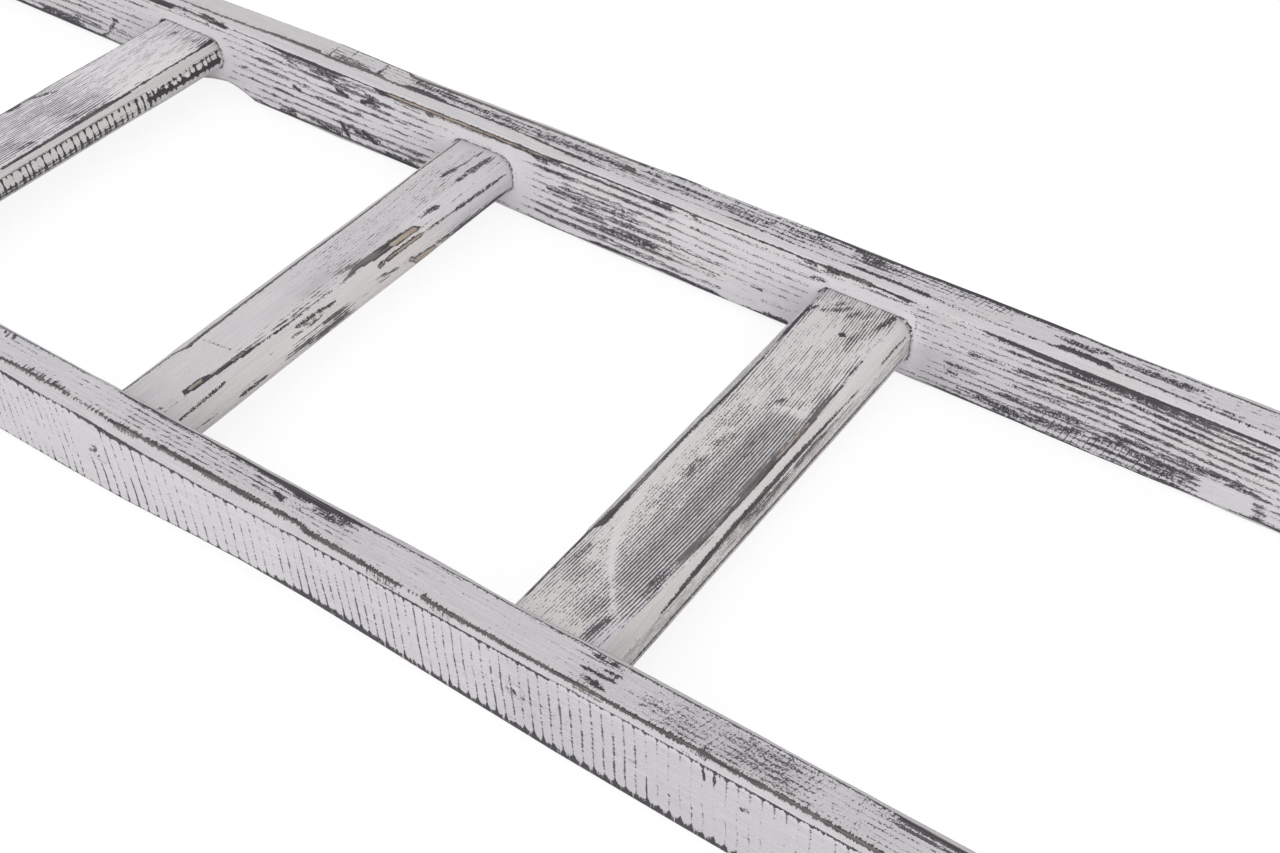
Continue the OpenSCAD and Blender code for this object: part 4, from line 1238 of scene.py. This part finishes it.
    # light sweeps that a sanding pad left across the grain
    surface.sweep([(-136, 57), (-130, 54), (-120, 46.5), (-110, 38.5), (-100, 31), (-90, 25.4), (-80, 21),
        (-70, 18.2), (-56, 15.8), (-36, 14.5)], 6, -136, -44, 0.9)
    across = 52 + 0.27 * (surface.s - 35) - surface.u
    shine = ease(across / 2) * ease(1 - across / 12) * ease((surface.s - 36) / 8) * ease((63 - surface.s) / 3)
    surface.cover(shine, 0.6, 0.1)


RUNG_FINISHES = (
    # ring pitch and share, share of the planer's ridges, dryness, speckle, seed, marks
    (2.2, 0.45, 0.10, 0.18, 0.4, 101, wear_rung_1),
    (2.1, 0.45, 0.10, 0.16, 0.5, 113, wear_rung_2),
    (2.2, 0.36, 0.02, 0.08, 0.2, 127, wear_rung_3),
    (1.85, 0.85, 0.03, 0.12, 0.48, 139, wear_rung_4),
)
RIDGE_PITCH = 2.1
# Where the first rung lies along the grain of the map, and how much further each next rung does
RUNG_GRAIN, RUNG_GRAIN_STEP = 5000.0, 600


def make_rung(i):
    """Rung i's dressed mesh: the blank, planed and worn by hand."""
    ring_pitch, rings, ridges, dry, speckle, seed, marks = RUNG_FINISHES[i]
    mesh = cut_rung(i, f"rung_{i + 1}_worn", RUNG_STEP, material=rung_paint)
    x, y, z = read_points(mesh).T
    lean = RUNG_X[i] + RUNG_SKEW[i] / CLEAR_WIDTH * y
    factor = np.zeros(len(y), np.float32)
    mesh.attributes["way_round"].data.foreach_get("value", factor)
    mesh.attributes.remove(mesh.attributes["way_round"])
    length_round = rung_section(i)[2][-1]
    s = ((1 - factor.astype(float)) * length_round - RUNG_THICKNESS[i] + 2 * RUNG_ROUND) % length_round
    x, z = plane_corners(i, y, s, x - lean, z - RUNG_FRONT_Z)

    def patches(k, span_y, span_s):
        return cloud(y, s, seed + k, span_y, span_s)

    sunk, half_t = hand_work(y, s, seed + 1, 60, 20), RUNG_THICKNESS[i] / 2
    x = x * (1 - 2 * sunk / RUNG_WIDTH[i])
    z = (z + half_t) * (1 - sunk / half_t) - half_t
    points = np.stack([lean + x, y, RUNG_FRONT_Z + z], -1) * MM
    mesh.vertices.foreach_set("co", points.astype(np.float32).ravel())
    surface = Surface(y, s)
    surface.ring_phase = s / ring_pitch + 0.5 * patches(2, 120, 25) + 1.6 * ((y + 20) / 110) ** 2
    surface.ring_share += rings
    surface.ridge_phase = y / RIDGE_PITCH + 0.2 * patches(3, 40, 20)
    surface.ridge_share += ridges
    surface.dry += dry + 0.06 * patches(4, 70, 12) + 0.04 * patches(5, 20, 5)
    surface.speckle = 0 * s + speckle
    surface.warmth += 0.25 + 0.3 * patches(6, 120, 30)
    surface.rubbed += 0.12
    surface.thin -= 0.14
    surface.fur += 0.5
    worn_start = rung_corners(i)[1]
    planed = ease((s - worn_start - 5) / 3) * ease((worn_start + 22 - s) / 2)
    surface.dry -= 0.14 * planed
    surface.ring_share *= 1 - 0.6 * planed
    marks(surface, *RUNG_ARRISES[i])
    # the underside is painted less well
    surface.dry += 0.12 * ease((s - worn_start - 40) / 4) * ease((length_round - 8 - s) / 4)
    store_grain(mesh, surface, RUNG_GRAIN + RUNG_GRAIN_STEP * i, length_round)
    finish_mesh(mesh)
    return mesh


# ---- Joints, and plugs of filler over the screw heads, painted with the rails

def screw_place(i, side, y):
    """Place in metres on the axis of the screw at one end of rung i, at y off the middle of the ladder."""
    x = RUNG_X[i] + side * RUNG_SKEW[i] / CLEAR_WIDTH * RUNG_LENGTH / 2
    return x * MM, side * y * MM, SCREW_Z * MM


def make_fillers(name, rail):
    """The dressed plugs of filler of a rail."""
    side = rail["side"]
    base = bpy.data.meshes.new("screw_places")
    middle = CLEAR_WIDTH / 2 + RAIL_THICKNESS - PLUG_SET_IN - PLUG_DEPTH / 2
    base.from_pydata([screw_place(i, side, middle) for i in RUNGS], [], [])
    base.attributes.new("side", "FLOAT", "POINT").data.foreach_set("value", [float(side)] * len(RUNGS))
    mesh = cut_blank(filler_blank, name, base, radius=PLUG_RADIUS * MM, depth=PLUG_DEPTH * MM, dome=PLUG_DOME * MM,
                     material=filler_paint)
    x, y, z = read_points(mesh).T
    w, d = rail["far_y"] - y, RAIL_DEPTH - z
    outer_face, s = (6, FACE_START[6] + RAIL_DEPTH - EDGE_CHAMFER - d) if side == LEFT else (2, NEAR + d)
    surface = rail_surface(rail, x, s, w, d, np.full(len(x), outer_face))
    rail["marks"](surface)
    surface.thin += 0.1 * cloud(x, s, rail["seed"] + 71, 6, 6)
    store_grain(mesh, surface, rail["shift"], FACE_START[-1])
    finish_mesh(mesh)
    return mesh


def cut_joints(mesh, side):
    """Cuts the housings of the rungs and the holes of the plugs out of a rail."""
    cutter = bmesh.new()
    for i in RUNGS:
        housing = cut_rung(i, "housing", HOUSING_STEP, HOUSING_CLEARANCE)
        cutter.from_mesh(housing)
        bpy.data.meshes.remove(housing)
        place = Matrix.Translation(screw_place(i, side, CLEAR_WIDTH / 2 + RAIL_THICKNESS))
        bmesh.ops.create_cone(cutter, cap_ends=True, segments=48, radius1=PLUG_HOLE_RADIUS * MM,
                              radius2=PLUG_HOLE_RADIUS * MM, depth=2 * PLUG_DEPTH * MM,
                              matrix=place @ Matrix.Rotation(math.pi / 2, 4, "X"))
    bmesh.ops.recalc_face_normals(cutter, faces=cutter.faces)
    tool = add_object("joint_cutter", bpy.data.meshes.new("joint_cutter"))
    cutter.to_mesh(tool.data)
    cutter.free()
    nowhere = np.zeros(len(tool.data.vertices))
    walls = Surface(nowhere, nowhere)
    walls.thin += 0.5
    walls.store(tool.data)
    name, rail = mesh.name, add_object("rail_to_cut", mesh)
    modifier = rail.modifiers.new("joints", "BOOLEAN")
    modifier.operation, modifier.solver, modifier.object = "DIFFERENCE", "MANIFOLD", tool
    cut = bpy.data.meshes.new_from_object(rail.evaluated_get(bpy.context.evaluated_depsgraph_get()))
    rail.modifiers.clear()
    remove_meshes(tool, rail)
    cut.name = name
    cut.set_sharp_from_angle(angle=SMOOTH_ANGLE)
    return cut


# ---- The floor and the light

WHITE = (1, 1, 1, 1)
FLOOR_REACH = 8.0
# What lights the object from the floor, and what shows of the floor under its soft shadow
FLOOR_PLAIN, FLOOR_SHADED, FLOOR_GLOW = (0.86, 0.86, 0.86, 1), (0.22, 0.22, 0.22, 1), 0.84
SKY_LEVEL, SKY_SEEN_MORE = 0.84, 0.16
WINDOW_SIZE, WINDOW_POWER = (3.0, 2.0), 31.0
WINDOW_PLACE, WINDOW_AIM = Vector((1.7, -2.3, 0.95)), Vector((0.1, 0, 0))


def make_floor():
    """A plain pale floor that shows only a soft shadow."""
    mesh = bpy.data.meshes.new("floor")
    reach = FLOOR_REACH
    mesh.from_pydata([(-reach, -reach, 0), (reach, -reach, 0), (reach, reach, 0), (-reach, reach, 0)], [],
                     [(0, 1, 2, 3)])
    floor = add_object("floor", mesh)
    material = bpy.data.materials.new("floor")
    material.use_nodes = True
    material.node_tree.nodes.clear()
    w = Wiring(material.node_tree)
    plain = w.add("ShaderNodeBsdfDiffuse", Color=FLOOR_PLAIN)
    shade = w.add("ShaderNodeBsdfDiffuse", Color=FLOOR_SHADED)
    glow = w.add("ShaderNodeEmission", Color=WHITE, Strength=FLOOR_GLOW)
    both, pick = w.add("ShaderNodeAddShader"), w.add("ShaderNodeMixShader")
    for node, sources in ((both, (shade.outputs[0], glow.outputs[0])),
                          (pick, (w.seen(), plain.outputs[0], both.outputs[0]))):
        for socket, source in zip(node.inputs, sources):
            w.put(socket, source)
    w.add("ShaderNodeOutputMaterial", Surface=pick.outputs[0])
    mesh.materials.append(material)


def make_light():
    """An even pale studio and one window."""
    world = bpy.data.worlds.new("studio")
    bpy.context.scene.world = world
    world.use_nodes = True
    w, back = Wiring(world.node_tree), world.node_tree.nodes["Background"]
    w.put(back.inputs["Color"], WHITE)
    w.put(back.inputs["Strength"], w.more(w.seen(), SKY_SEEN_MORE, SKY_LEVEL))
    lamp = bpy.data.lights.new("window", "AREA")
    lamp.shape = "RECTANGLE"
    lamp.size, lamp.size_y = WINDOW_SIZE
    lamp.energy = WINDOW_POWER
    window = add_object("window", lamp)
    window.location = WINDOW_PLACE
    look_along(window, WINDOW_AIM - WINDOW_PLACE)
    bpy.context.scene.view_settings.view_transform = "Standard"


make_floor()
make_light()

for word, rail in (("left", LEFT_RAIL), ("right", RIGHT_RAIL)):
    body = cut_joints(make_rail(f"{word}_rail_worn", rail), rail["side"])
    add_piece(f"{word}_rail_worn", body, rail_paint, "rail_paint", f"{word}_rail")
    fillers = make_fillers(f"{word}_rail_fillers", rail)
    add_piece(f"{word}_rail_fillers", fillers, filler_paint, "filler", *[f"{word}_plug_{i + 1}" for i in RUNGS])
for i in RUNGS:
    add_piece(f"rung_{i + 1}_worn", make_rung(i), rung_paint, "rung_paint", f"rung_{i + 1}")

for name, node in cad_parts.items():
    if "screws" in name:
        node.data.materials.clear()
        node.data.materials.append(screw_steel)
